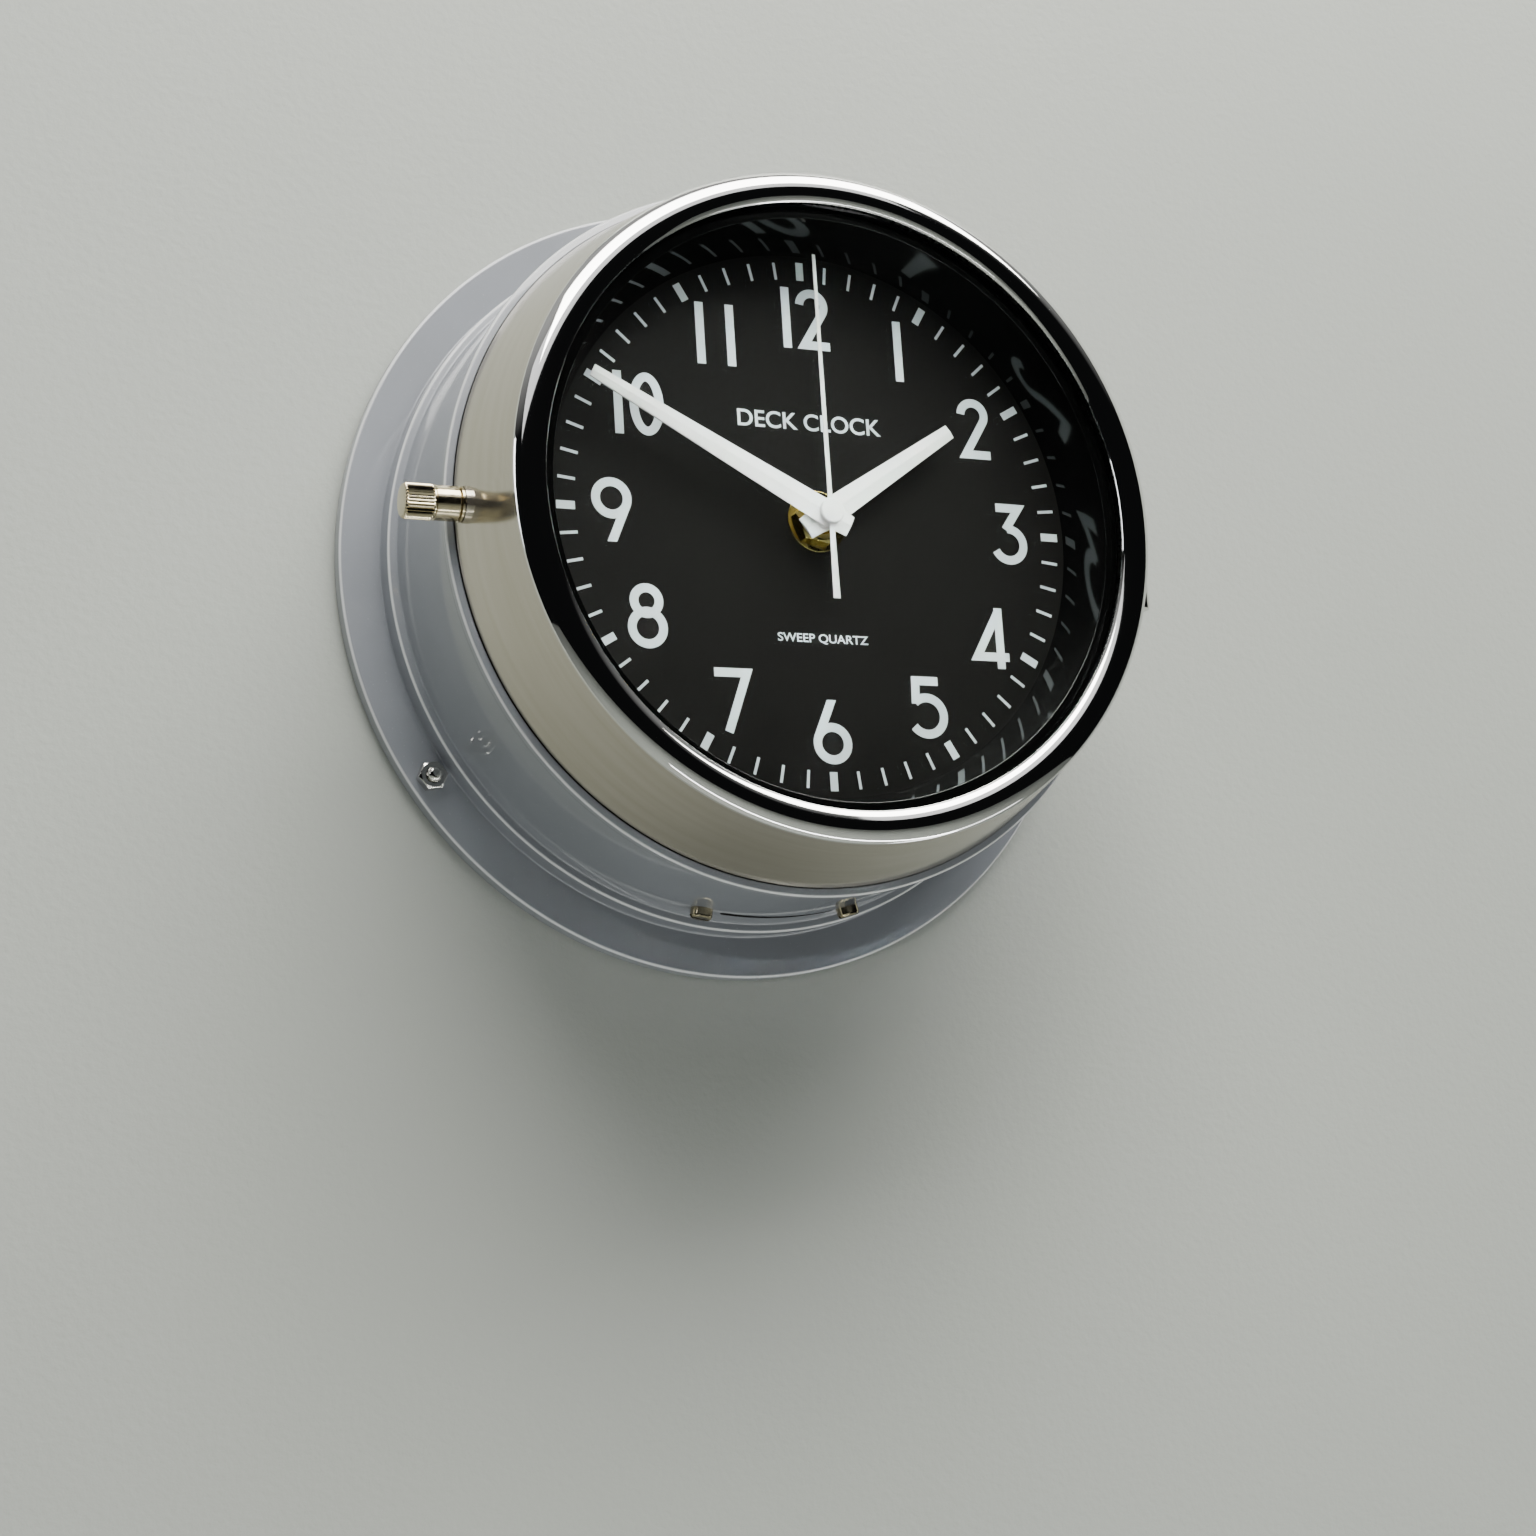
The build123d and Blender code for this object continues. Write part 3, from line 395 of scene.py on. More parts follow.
# Black and pale mouldings, lacquers and inks: the funnel ring shines like ink, the rubber and foam stay
# dull, the acetal is milky, and the hands are a little glossier than the print on the dial.
dial_black = dial_lacquer()
gloss_black = moulded("gloss black polystyrene", "#050505", "#090909", 0.07, 0.5, 0.001)
rubber = moulded("black neoprene rubber", "#121212", "#1A1A19", 0.7, 0.5, 0.03)
foam = moulded("closed-cell foam", "#1B1C1D", "#2A2B2C", 0.9, 0.8, 0.12)
abs_black = moulded("textured black ABS", "#161617", "#1D1D1E", 0.5, 0.35, 0.03)
acetal = moulded("white acetal", "#DAD8D0", "#E6E4DE", 0.32, 0.4, 0.006)
board = moulded("green board lacquer", "#14472B", "#1E5A38", 0.3, 0.8, 0.02)
chip_black = moulded("sealed chip epoxy", "#0E0E0F", "#161617", 0.4, 0.3, 0.02)
hand_white = moulded("white hand lacquer", "#F0F1EE", "#F5F5F3", 0.34, 1.6, 0.006)
print_white = moulded("screen-printed white ink", "#D9E4EA", "#E2EBF0", 0.5, 0.5, 0.01)
copper = copper_winding()
film = cell_wrap()
glass_clear = clear_glass()


# ---------------------------------------------------------------- shapes
def rounded(corners, steps=6):
    """Profile of (radius, depth[, corner radius]) points with each given corner turned into an arc:
    its middle lies on the bisector, and the arc runs between its two tangent points."""
    corners = [tuple(c) + (0.0,) * (3 - len(c)) for c in corners]
    path = []
    for i, (radius, depth, curve) in enumerate(corners):
        here = np.array([radius, depth])
        if curve <= 0:
            path.append(here[None])
            continue
        before = np.array(corners[i - 1][:2]) - here
        after = np.array(corners[(i + 1) % len(corners)][:2]) - here
        before, after = before / np.linalg.norm(before), after / np.linalg.norm(after)
        half = math.acos(np.clip(before @ after, -1, 1)) / 2
        middle = here + (before + after) / np.linalg.norm(before + after) * curve / math.sin(half)
        reach = curve / math.tan(half)
        start, end = here + before * reach - middle, here + after * reach - middle
        share = np.linspace(0, 1, steps + 1)[:, None]
        swing = math.acos(np.clip(start @ end / curve ** 2, -1, 1))
        turned = np.sin((1 - share) * swing) * start + np.sin(share * swing) * end
        path.append(middle + turned / math.sin(swing))
    return np.concatenate(path)


def line(*points):
    """Straight path through points."""
    return np.array(points, float)


def lengths(profile):
    """Running length along a profile."""
    steps = np.linalg.norm(np.diff(profile, axis=0), axis=1)
    return np.concatenate([[0], np.cumsum(steps)])


def carried(radius, depth, angle, origin=(0, 0, 0), axis=(0, -1, 0), noon=(0, 0, 1)):
    """Points of a surface round any axis: origin + depth * axis + radius * (noon * cos a + east * sin a),
    where east is noon x axis, so that the angle runs clockwise seen from the axis's tip."""
    axis, noon = np.array(axis, float), np.array(noon, float)
    east = np.cross(noon, axis)
    radius, depth, angle = np.broadcast_arrays(radius, depth, np.radians(angle))
    spoke = np.cos(angle)[..., None] * noon + np.sin(angle)[..., None] * east
    return np.array(origin, float) + depth[..., None] * axis + radius[..., None] * spoke


def skin(name, points, material, closed_rows=False, closed_columns=True, uv=None):
    """Mesh of a grid of points in millimetres (rows along the profile, columns round it).  Doubles at
    the poles are merged and the faces turned outwards; edges over 32 degrees stay sharp."""
    rows, columns = points.shape[:2]
    index = np.arange(rows * columns).reshape(rows, columns)
    i = np.arange(rows if closed_rows else rows - 1)
    j = np.arange(columns if closed_columns else columns - 1)
    i, j = np.meshgrid(i, j, indexing="ij")
    below, right = (i + 1) % rows, (j + 1) % columns
    quads = np.stack([index[i, j], index[i, right], index[below, right], index[below, j]], -1).reshape(-1, 4)
    mesh = bpy.data.meshes.new(name)
    mesh.from_pydata((points.reshape(-1, 3) * MM).tolist(), [], quads.tolist())
    if uv is not None:
        around, along = uv
        u = np.stack([around[j], around[j + 1], around[j + 1], around[j]], -1)
        v = np.stack([along[i], along[i], along[i + 1], along[i + 1]], -1)
        layer = mesh.uv_layers.new(name="turning")
        layer.data.foreach_set("uv", np.stack([u, v], -1).astype(np.float32).ravel())
    return mesh_object(name, mesh, material)


def turning_map(angle, radius, section):
    """Lengths round a turned surface, at a radius, and along its closed section."""
    around = np.append(angle, 360 + angle[0]) * math.pi / 180 * radius
    return around, lengths(np.concatenate([section, section[:1]]))


def capped(tube):
    """A tube's grid with one more column at each end, drawn together at the middle of that end."""
    first, last = (end.mean(0, keepdims=True).repeat(len(tube), 0) for end in (tube[:, :1], tube[:, -1:]))
    return np.concatenate([first, tube, last], 1)


def mesh_object(name, mesh, material, sharp=32.0, merge=1e-7):
    """Object of a mesh after its doubles are merged and its faces turned outwards."""
    work = bmesh.new()
    work.from_mesh(mesh)
    bmesh.ops.remove_doubles(work, verts=work.verts, dist=merge)
    bmesh.ops.dissolve_degenerate(work, edges=work.edges, dist=merge)
    bmesh.ops.recalc_face_normals(work, faces=work.faces)
    work.to_mesh(mesh)
    work.free()
    mesh.shade_smooth()
    mesh.set_sharp_from_angle(angle=math.radians(sharp))
    mesh.materials.clear()
    mesh.materials.append(material)
    piece = bpy.data.objects.new(name, mesh)
    bpy.context.scene.collection.objects.link(piece)
    even = piece.modifiers.new("even shading", "WEIGHTED_NORMAL")
    even.keep_sharp = True
    return piece


def joined(name, parts, material):
    """One object from several, with their faces kept."""
    work = bmesh.new()
    for part in parts:
        work.from_mesh(part.data)
        spare = part.data
        bpy.data.objects.remove(part)
        bpy.data.meshes.remove(spare)
    mesh = bpy.data.meshes.new(name)
    work.to_mesh(mesh)
    work.free()
    return mesh_object(name, mesh, material)


def install(piece, node):
    """The piece stands for a CAD node, which it hides, and rides on its body."""
    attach(piece, nodes[node]["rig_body"])
    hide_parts(node)
    return piece


def lathe(name, profile, material, closed=True, turns=360, **place):
    """Surface of revolution of a (radius, depth) profile: each profile point becomes a circle."""
    angle = np.linspace(0, 360, turns, endpoint=False)
    points = carried(profile[:, 0, None], profile[:, 1, None], angle[None], **place)
    around = np.linspace(0, 2 * math.pi * profile[:, 0].max(), turns + 1)
    along = lengths(np.concatenate([profile, profile[:1]]))
    return skin(name, points, material, closed_rows=closed, uv=(around, along))


def smoothed(node, material):
    """Copy of a CAD node's mesh with its loose triangles merged and its curved faces shaded smooth."""
    piece = mesh_object(node + "_smooth", nodes[node].data.copy(), material, sharp=28.0, merge=2e-6)
    return install(piece, node)


# ---------------------------------------------------------------- case
def case_profile():
    """Section of the flanged drum, from the flange's back edge round the outside and back inside.  Six
    of its points lie together at the slot's depth, for flanged_case to part."""
    inner, neck_inner = drum_radius - drum_wall, neck_radius - neck_wall
    bead, rebate = drum_radius + bead_proud, drum_front - rebate_depth
    ledge_back, shoulder = neck_front - ledge_thickness, drum_front - shoulder_wall
    return rounded([
        (flange_recess_radius, 0), (flange_radius, 0, 0.6), (flange_radius, flange_front, 1.1),
        (foot_radius, flange_front, 0.5), (foot_radius, foot_front, 1.0),
        (drum_radius + 0.5, foot_front + 0.4, 0.6), (drum_radius, foot_front + 4.0),
        *[(drum_radius, slot_depth)] * 6,
        (drum_radius, drum_front - 4.6), (bead, drum_front - 2.6, 0.8),
        (bead, drum_front - 0.3, 0.9), (drum_radius - 1.6, drum_front + 0.2, 0.3),
        (drum_radius - 2.1, rebate), (neck_radius + rebate_width, rebate),
        (neck_radius + rebate_width, drum_front), (neck_radius, drum_front), (neck_radius, neck_front, 0.5),
        (ledge_radius, neck_front), (ledge_radius, ledge_back), (neck_inner, ledge_back),
        (neck_inner, shoulder), (inner, shoulder, 1.5), (inner, flange_recess, 0.5),
        (flange_recess_radius, flange_recess)])


def case_highlight_edges():
    """Places along the section of the rounded front edges of the flange, the foot and the drum, where the
    enamel carries its painted highlights.
    """
    profile = case_profile()
    run = lengths(profile)
    edges = ((flange_radius, flange_front), (foot_radius, foot_front),
             (drum_radius + bead_proud, drum_front - 0.3))
    return [float(run[np.argmin(np.linalg.norm(profile - edge, axis=1))]) for edge in edges]


enamel = stove_enamel(case_highlight_edges())


def case_angles():
    """Clock angles of the case's columns, close together along the slot and closest at its round ends."""
    half = math.degrees(slot_length / 2 / drum_radius)
    end = math.degrees(slot_width / 2 / drum_radius)
    tips = end * np.array([0, 0.02, 0.1, 0.25, 0.45, 0.7, 1.0])
    fine = np.concatenate([slot_angle - half + tips, slot_angle + half - tips])
    outside = [slot_angle - half - 0.02, slot_angle + half + 0.02]
    coarse = np.linspace(0, 360, 400, endpoint=False)
    clear = np.abs(np.abs(coarse - slot_angle) - half) > 2 * end
    return np.unique(np.concatenate([coarse[clear], fine, outside]))


def flanged_case():
    """Case with the slot pressed through the drum.  Six rows of the section meet at the slot's middle;
    they part by the slot's half width, sqrt(r^2 - (|s| - L/2 + r)^2) at its ends, and the middle two
    drop to the slot's floor.  The slot's floor takes the black rubber of its cover; its side walls, enamel
    on the real case, take the same black rubber as painted shade, so that the slit reads dark."""
    profile, angle = case_profile(), case_angles()
    rows = np.flatnonzero(np.all(np.isclose(profile, (drum_radius, slot_depth)), axis=1))
    radius = np.repeat(profile[:, :1], len(angle), 1)
    depth = np.repeat(profile[:, 1:], len(angle), 1)
    along = np.abs(np.radians(angle - slot_angle)) * drum_radius
    end = slot_width / 2
    past = np.clip(along - (slot_length / 2 - end), 0, None)
    least_half, margin = 0.015, 0.25
    half = np.sqrt(np.clip(end ** 2 - past ** 2, least_half ** 2, None))
    open_here = along < slot_length / 2 + 1e-6
    floor = np.where(open_here, slot_floor, drum_radius)
    for row, side, extra, deep in zip(rows, (-1, -1, -1, 1, 1, 1), (margin, 0, 0, 0, 0, margin),
                                      (False, False, True, True, False, False)):
        depth[row] = slot_depth + side * (half + extra)
        radius[row] = floor if deep else drum_radius
    piece = skin("flanged_case", carried(radius, depth, angle[None]), enamel, closed_rows=True,
                 uv=turning_map(angle, drum_radius, profile))
    piece.data.materials.append(rubber)
    centres = np.zeros(len(piece.data.polygons) * 3)
    piece.data.polygons.foreach_get("center", centres)
    x, y, z = centres.reshape(-1, 3).T / MM
    out = np.hypot(x, z)
    # the slot's floor is the rubber cover; its side walls get the black rubber too, as painted shade
    below_skin = (out > slot_floor - 1) & (out < drum_radius - 0.2)
    cover_and_shade_faces = (z < 0) & below_skin & (np.abs(y + slot_depth) < slot_width)
    piece.data.polygons.foreach_set("material_index", cover_and_shade_faces.astype(np.int32))
    return install(piece, "rear_case")


def place_at(radius, angle):
    """(x, 0, z) of a point at a clock angle, in millimetres."""
    return radius * math.sin(math.radians(angle)), 0.0, radius * math.cos(math.radians(angle))


def hexagon_radius(angle, flats):
    """Distance from the middle of a hexagon to its side at an angle."""
    return flats / 2 / np.cos(np.radians((angle + 30) % 60 - 30))


def hexagon_nut(name, flats, back, front, bore, chamfer, material, turn=0.0, **place):
    """Nut: at each height its radius is the smaller of the hexagon's and the chamfer cone's, so the
    cone cuts each flat in the usual curve; the bore, countersunk at the front, closes the section."""
    across = flats / 2 / math.cos(math.pi / 6)
    slope, clear, countersink = 1.7, 0.25, 0.25
    corners = np.arange(30, 360, 60)
    angle = np.unique(np.concatenate([np.arange(0, 360, 5.0), corners - 1, corners + 1]))
    high = np.concatenate([[back], np.linspace(front - chamfer * 1.3, front, 10)])
    cone = across + clear - (high - (front - chamfer)) * slope
    outer = np.minimum(hexagon_radius(angle[None], flats), np.maximum(cone, flats * 0.47)[:, None])
    radius = np.concatenate([outer, np.full((3, len(angle)), [[bore + countersink], [bore], [bore]])])
    depth = np.concatenate([high, [front, front - countersink, back]])
    points = carried(radius, depth[:, None], angle[None] + turn, **place)
    return skin(name, points, material, closed_rows=True)


def flange_nuts():
    """Three nuts on the flange, each turned as it stopped."""
    nuts = [hexagon_nut("nut", flange_nut_flats, flange_front, flange_front + flange_nut_height, stud_radius,
                        0.7, chrome, turn, origin=place_at(stud_circle, angle))
            for angle, turn in zip(stud_angles, flange_nut_turns)]
    return install(joined("flange_nuts_bright", nuts, chrome), "flange_nuts")


def wall_studs():
    """Studs with domed ends."""
    profile = rounded([(0.01, 0.1), (stud_radius, 0.1), (stud_radius, stud_end, 1.3), (0.01, stud_end)])
    studs = [lathe("stud", profile, chrome, turns=48, origin=place_at(stud_circle, angle))
             for angle in stud_angles]
    return install(joined("wall_studs_bright", studs, chrome), "wall_studs")


def slot_screws():
    """Cheese-head screws: a turned head whose slot runs round the drum.  The head's face is flat, and
    its edge falls as a quarter round of slot_head_round; the rows within slot_cut_half of the middle
    drop by slot_cut_depth."""
    screws = []
    seat, front = drum_radius - 0.2, drum_radius + slot_head_height
    flat_end = slot_head_radius - slot_head_round
    for angle in slot_screw_angles:
        x, _, z = place_at(1.0, angle)
        edge = np.array([-3.0, -2.6, -1.6, -0.6, -slot_cut_half, -slot_cut_half,
                         slot_cut_half, slot_cut_half, 0.6, 1.6, 2.6, 3.0])
        column = np.linspace(-1, 1, 25)
        across, along = np.meshgrid(edge, column, indexing="ij")
        along = along * np.sqrt(np.clip(slot_head_radius ** 2 - across ** 2, 0.0, None))
        past = np.clip(np.hypot(across, along) - flat_end, 0, slot_head_round) / slot_head_round
        height = front - slot_head_round * (1 - np.sqrt(np.clip(1 - past ** 2, 0, 1)))
        height[5:7] -= slot_cut_depth
        spoke, sideways = np.array([x, 0, z]), np.array([0, -1, 0])
        round_drum = np.cross(spoke, sideways)
        top = (spoke * height[..., None] + round_drum * along[..., None] + sideways * across[..., None]
               + np.array([0, -slot_screw_depth, 0]))
        screws.append(skin("head_top", top, warm_nickel, closed_columns=False))
        turned = {"closed": False, "origin": (0, -slot_screw_depth, 0), "axis": spoke, "noon": (0, -1, 0)}
        wall = line((flat_end, seat), (slot_head_radius, seat), (slot_head_radius, front - slot_head_round))
        screws.append(lathe("head_wall", wall, warm_nickel, turns=64, **turned))
        shank_end = drum_radius - slot_shank_length
        shank = line((0.01, shank_end), (slot_shank_radius, shank_end), (slot_shank_radius, seat))
        screws.append(lathe("shank", shank, warm_nickel, turns=32, **turned))
    return install(joined("slot_screws_bright", screws, warm_nickel), "slot_screws")


# ---------------------------------------------------------------- bezel and glass
def skirt_radius(depth):
    """Outside radius of the tapered skirt at a depth."""
    share = (depth - bezel_back) / (bezel_corner_depth - bezel_back)
    return bezel_back_radius + share * (bezel_corner_radius - bezel_back_radius)


def rim_arc(steps=26):
    """Rim as (radius, depth) points: a circular arc through its corner, crown and lip, as far as the
    lip's roll, which turns in over the last 50 degrees of a circle of radius lip_roll."""
    a, b, c = (np.array(p) for p in ((bezel_corner_radius, bezel_corner_depth),
                                     (rim_crown_radius, rim_crown_depth), (rim_lip_radius, rim_lip_depth)))
    rows = 2 * np.array([b - a, c - a])
    centre = np.linalg.solve(rows, [b @ b - a @ a, c @ c - a @ a])
    start, end = a - centre, c - centre
    swing = math.acos(start @ end / (np.linalg.norm(start) * np.linalg.norm(end)))
    share = np.linspace(0, 1, steps + 1)[:, None]
    bow = centre + (np.sin((1 - share) * swing) * start + np.sin(share * swing) * end) / math.sin(swing)
    lip = np.radians(np.linspace(50.0, 0.0, 6))[:, None]
    roll_middle = np.array([rim_lip_radius + lip_roll, rim_lip_depth - lip_roll])
    roll = roll_middle + lip_roll * np.hstack([-np.cos(lip), np.sin(lip)])
    return np.concatenate([bow[bow[:, 0] > roll[0, 0]], roll])


def spun_bezel():
    """Tapered skirt and polished rim in one spinning.  Round the thumb screw the skirt's rear edge
    moves forward to thumb_depth + sqrt(r^2 - z^2), which leaves the U-slot of half width r."""
    reach = thumb_shank_radius + thumb_clearance
    half = math.degrees(math.asin(reach / bezel_back_radius))
    step = np.sin(np.linspace(-math.pi / 2, math.pi / 2, 15)) * half
    coarse = np.linspace(0, 360, 480, endpoint=False)
    coarse = coarse[np.abs(coarse - 270) > half * 1.05]
    angle = np.sort(np.concatenate([coarse, 270 + step, [270 - half - 0.004, 270 + half + 0.004]]))
    height = bezel_back_radius * np.radians(np.abs(angle - 270))
    inside = np.abs(angle - 270) < half + 0.001
    rear = np.where(inside, thumb_depth + np.sqrt(np.clip(reach ** 2 - height ** 2, 0, None)), bezel_back)
    share = np.linspace(0, 1, 13)[:, None]
    outer_depth = rear + 0.4 + share * (bezel_corner_depth - rear - 0.4)
    inner_depth = (rear + share * (lip_back - rear))[::-1]
    rim = rim_arc()
    rim_radius = np.repeat(rim[1:, :1], len(angle), 1)
    rim_depth = np.repeat(rim[1:, 1:], len(angle), 1)
    back_lip = np.full((1, len(angle)), rim_lip_radius)
    radius = np.concatenate([skirt_radius(outer_depth), rim_radius, back_lip,
                             skirt_radius(inner_depth) - bezel_wall, skirt_radius(rear[None]) - 0.3])
    back_depth = np.full((1, len(angle)), lip_back)
    depth = np.concatenate([outer_depth, rim_depth, back_depth, inner_depth, rear[None]])
    column_away_from_slot = 100
    section = np.stack([radius, depth], 2)[:, column_away_from_slot]
    piece = skin("spun_bezel", carried(radius, depth, angle[None]), nickel_bezel, closed_rows=True,
                 uv=turning_map(angle, bezel_back_radius, section))
    return install(piece, "bezel")


def flat_glass():
    """Disc of clock glass with ground edges."""
    profile = rounded([(0.01, glass_back), (glass_radius, glass_back, 0.3), (glass_radius, glass_front, 0.3),
                       (0.01, glass_front)], 3)
    return install(lathe("flat_glass", profile, glass_clear, turns=180), "glass")


def funnel_surround():
    """Moulded funnel ring between the dial and the glass."""
    edge, base = neck_radius - neck_wall, dial_front + surround_base
    seat = surround_front - surround_seat_depth
    profile = rounded([
        (surround_foot, dial_front), (edge, dial_front), (edge, base, 0.4), (surround_foot + 2.2, base, 0.8),
        (surround_mouth + 1.2, seat, 0.3), (surround_seat_radius, seat),
        (surround_seat_radius, surround_front, 0.3), (surround_mouth, surround_front, 0.4)])
    ring = lathe("funnel_surround", profile, gloss_black, turns=480)
    return install(ring, "dial_surround")


def knurled_screw():
    """Thumb screw turned about -X: over its outer half the radius falls and rises as a triangle wave
    thumb_teeth times a turn, knurl_depth deep, fading at the ends of the knurl."""
    wave_columns = thumb_teeth * 6
    angle = np.arange(wave_columns) * 360 / wave_columns
    wave = np.abs((angle * thumb_teeth / 360) % 1 * 2 - 1)
    section = np.array([
        (0.01, thumb_shank_end, 0), (1.6, thumb_shank_end, 0), (thumb_shank_radius, thumb_shank_end + 0.5, 0),
        (thumb_shank_radius, thumb_face, 0), (3.9, thumb_face, 0), (4.3, thumb_face + 0.35, 0),
        (thumb_radius - 0.05, thumb_face + 0.6, 0), (thumb_radius - 0.05, thumb_knurl_start - 0.5, 0),
        (thumb_radius - 0.35, thumb_knurl_start - 0.3, 0), (thumb_radius - 0.35, thumb_knurl_start, 0),
        (thumb_radius, thumb_knurl_start + 0.15, 0.2), (thumb_radius, thumb_knurl_start + 0.5, 1),
        (thumb_radius, thumb_end - 0.8, 1), (thumb_radius - 0.25, thumb_end - 0.35, 0.6),
        (thumb_radius - 0.6, thumb_end - 0.05, 0.1), (thumb_radius - 0.9, thumb_end, 0),
        (0.01, thumb_end, 0)])
    radius = section[:, :1] - knurl_depth * section[:, 2:] * wave[None]
    points = carried(radius, section[:, 1:2], angle[None], origin=(0, -thumb_depth, 0), axis=(-1, 0, 0))
    return install(skin("knurled_screw", points, warm_nickel, closed_rows=True), "thumb_screw")


# ---------------------------------------------------------------- dial and its print
def dial_disc():
    """Lacquered dial disc."""
    profile = rounded([(dial_bore, neck_front), (dial_radius, neck_front), (dial_radius, dial_front, 0.2),
                       (dial_bore, dial_front)], 3)
    return install(lathe("dial_disc", profile, dial_black, turns=240), "dial")


def arc(centre, radius, start, end, steps=28):
    """Elliptical path about a centre; angles in degrees, anticlockwise from the right."""
    angle = np.radians(np.linspace(start, end, steps + 1))
    radius = np.broadcast_to(radius, 2)
    return np.stack([centre[0] + radius[0] * np.cos(angle), centre[1] + radius[1] * np.sin(angle)], 1)


def stroke(path, width, level, closed=False, level_ends=False):
    """Flat ribbon carried along a path, (x, z) in millimetres, with mitred corners: at each point the
    two sides lie half a width out along the mean of the normals, divided by the cosine of half the turn.
    level_ends cuts the ends along the horizontal."""
    if closed:
        path = path[:-1]
    after = np.roll(path, -1, 0) - path
    before = path - np.roll(path, 1, 0)
    if not closed:
        after[-1], before[0] = before[-1], after[0]
    after /= np.linalg.norm(after, axis=1)[:, None]
    before /= np.linalg.norm(before, axis=1)[:, None]
    normal = np.stack([-(after + before)[:, 1], (after + before)[:, 0]], 1)
    normal /= np.linalg.norm(normal, axis=1)[:, None]
    turn = np.clip(normal[:, 0] * -after[:, 1] + normal[:, 1] * after[:, 0], 0.3, 1)
    side = normal / turn[:, None] * width / 2
    if level_ends:
        for end in (0, -1):
            side[end] = (-math.copysign(width / 2, after[end, 1]) / abs(after[end, 1]), 0)
    left, right = path + side, path - side
    low, high = dial_front - 0.02, dial_front + level
    rows = [np.column_stack([p[:, 0], np.full(len(p), -d), p[:, 1]])
            for p, d in ((left, low), (left, high), (right, high), (right, low))]
    grid = np.stack(rows, 0)
    if closed:
        return skin("stroke", grid, print_white, closed_rows=True)
    return skin("stroke", capped(grid), print_white, closed_rows=True, closed_columns=False)


def six(h):
    """Bowl and straight stem of a six, height h."""
    return [(arc((5.4, 5.4), 4.25, 157, 517), True, False),
            (line((5.75, h), (1.49, 7.05)), False, True)]


def figure(digit):
    """Strokes of a numeral on its own origin: (path, closed, level ends).  Each is a plain sign-writer's
    figure drawn from straight lines and round bowls."""
    h, s = numeral_height, numeral_stroke / 2
    if digit == "0":
        return [(arc((4.65, h / 2), (3.5, h / 2 - s), 0, 360, 56), True, False)]
    if digit == "1":
        return [(line((s, 0), (s, h)), False, False)]
    if digit == "2":
        bowl = arc((4.75, h - s - 3.5), 3.5, 176, -33)
        return [(np.concatenate([bowl, line((2.05, s), (9.4, s))]), False, False)]
    if digit == "3":
        return [(line((1.9, h - s), (8.6, h - s), (4.4, 9.6)), False, False),
                (arc((5.1, 5.5), 4.35, 93, -155), False, False)]
    if digit == "4":
        return [(line((11.5, 3.15), (2.05, 3.15), (9.1, 15.6)), False, False),
                (line((9.0, 0), (9.0, 16.5)), False, False)]
    if digit == "5":
        return [(line((9.4, h - s - 0.2), (2.9, h - s - 0.2), (2.65, 9.3)), False, False),
                (arc((5.7, 6.1), 4.85, 132, -143), False, False)]
    if digit == "6":
        return six(h)
    if digit == "7":
        return [(line((0, h - s - 0.2), (8.94, h - s - 0.2), (3.2, 0)), False, False)]
    if digit == "8":
        return [(arc((5.35, 12.35), 3.35, 0, 360, 48), True, False),
                (arc((5.35, 5.4), 4.2, 0, 360, 48), True, False)]
    return [(np.array([10.8, h]) - path, closed, level) for path, closed, level in six(h)]


# Each figure of each numeral, with the place of its lower left corner.
numeral_places = (
    ("1", -5.9, 47.3), ("2", -1.95, 47.3), ("1", 26.3, 40.7), ("2", 43.6, 20.7), ("3", 51.3, -8.2),
    ("4", 42.2, -37.1), ("5", 22.3, -56.8), ("6", -5.0, -64.3), ("7", -31.3, -56.8), ("8", -53.9, -36.1),
    ("9", -61.9, -8.8), ("1", -54.45, 19.9), ("0", -50.2, 19.9), ("1", -30.7, 40.7), ("1", -22.2, 40.7))


def words(text, height, width, x, z, bold):
    """Plain lettering made a mesh, scaled to a cap height and a width, and laid on the dial."""
    curve = bpy.data.curves.new("words", "FONT")
    curve.body, curve.offset, curve.extrude = text, bold, 0.02
    source = bpy.data.objects.new("words", curve)
    mesh = bpy.data.meshes.new_from_object(source)
    bpy.data.objects.remove(source)
    bpy.data.curves.remove(curve)
    flat = np.zeros(len(mesh.vertices) * 3)
    mesh.vertices.foreach_get("co", flat)
    flat = flat.reshape(-1, 3)
    low, high = flat.min(0), flat.max(0)
    share = (flat - (low + high) / 2) / (high - low)
    placed = np.stack([x + share[:, 0] * width, -(dial_front + 0.01 + 0.03 * (share[:, 2] + 0.5)),
                       z + share[:, 1] * height], 1)
    mesh.vertices.foreach_set("co", (placed * MM).ravel())
    return mesh_object("words", mesh, print_white)


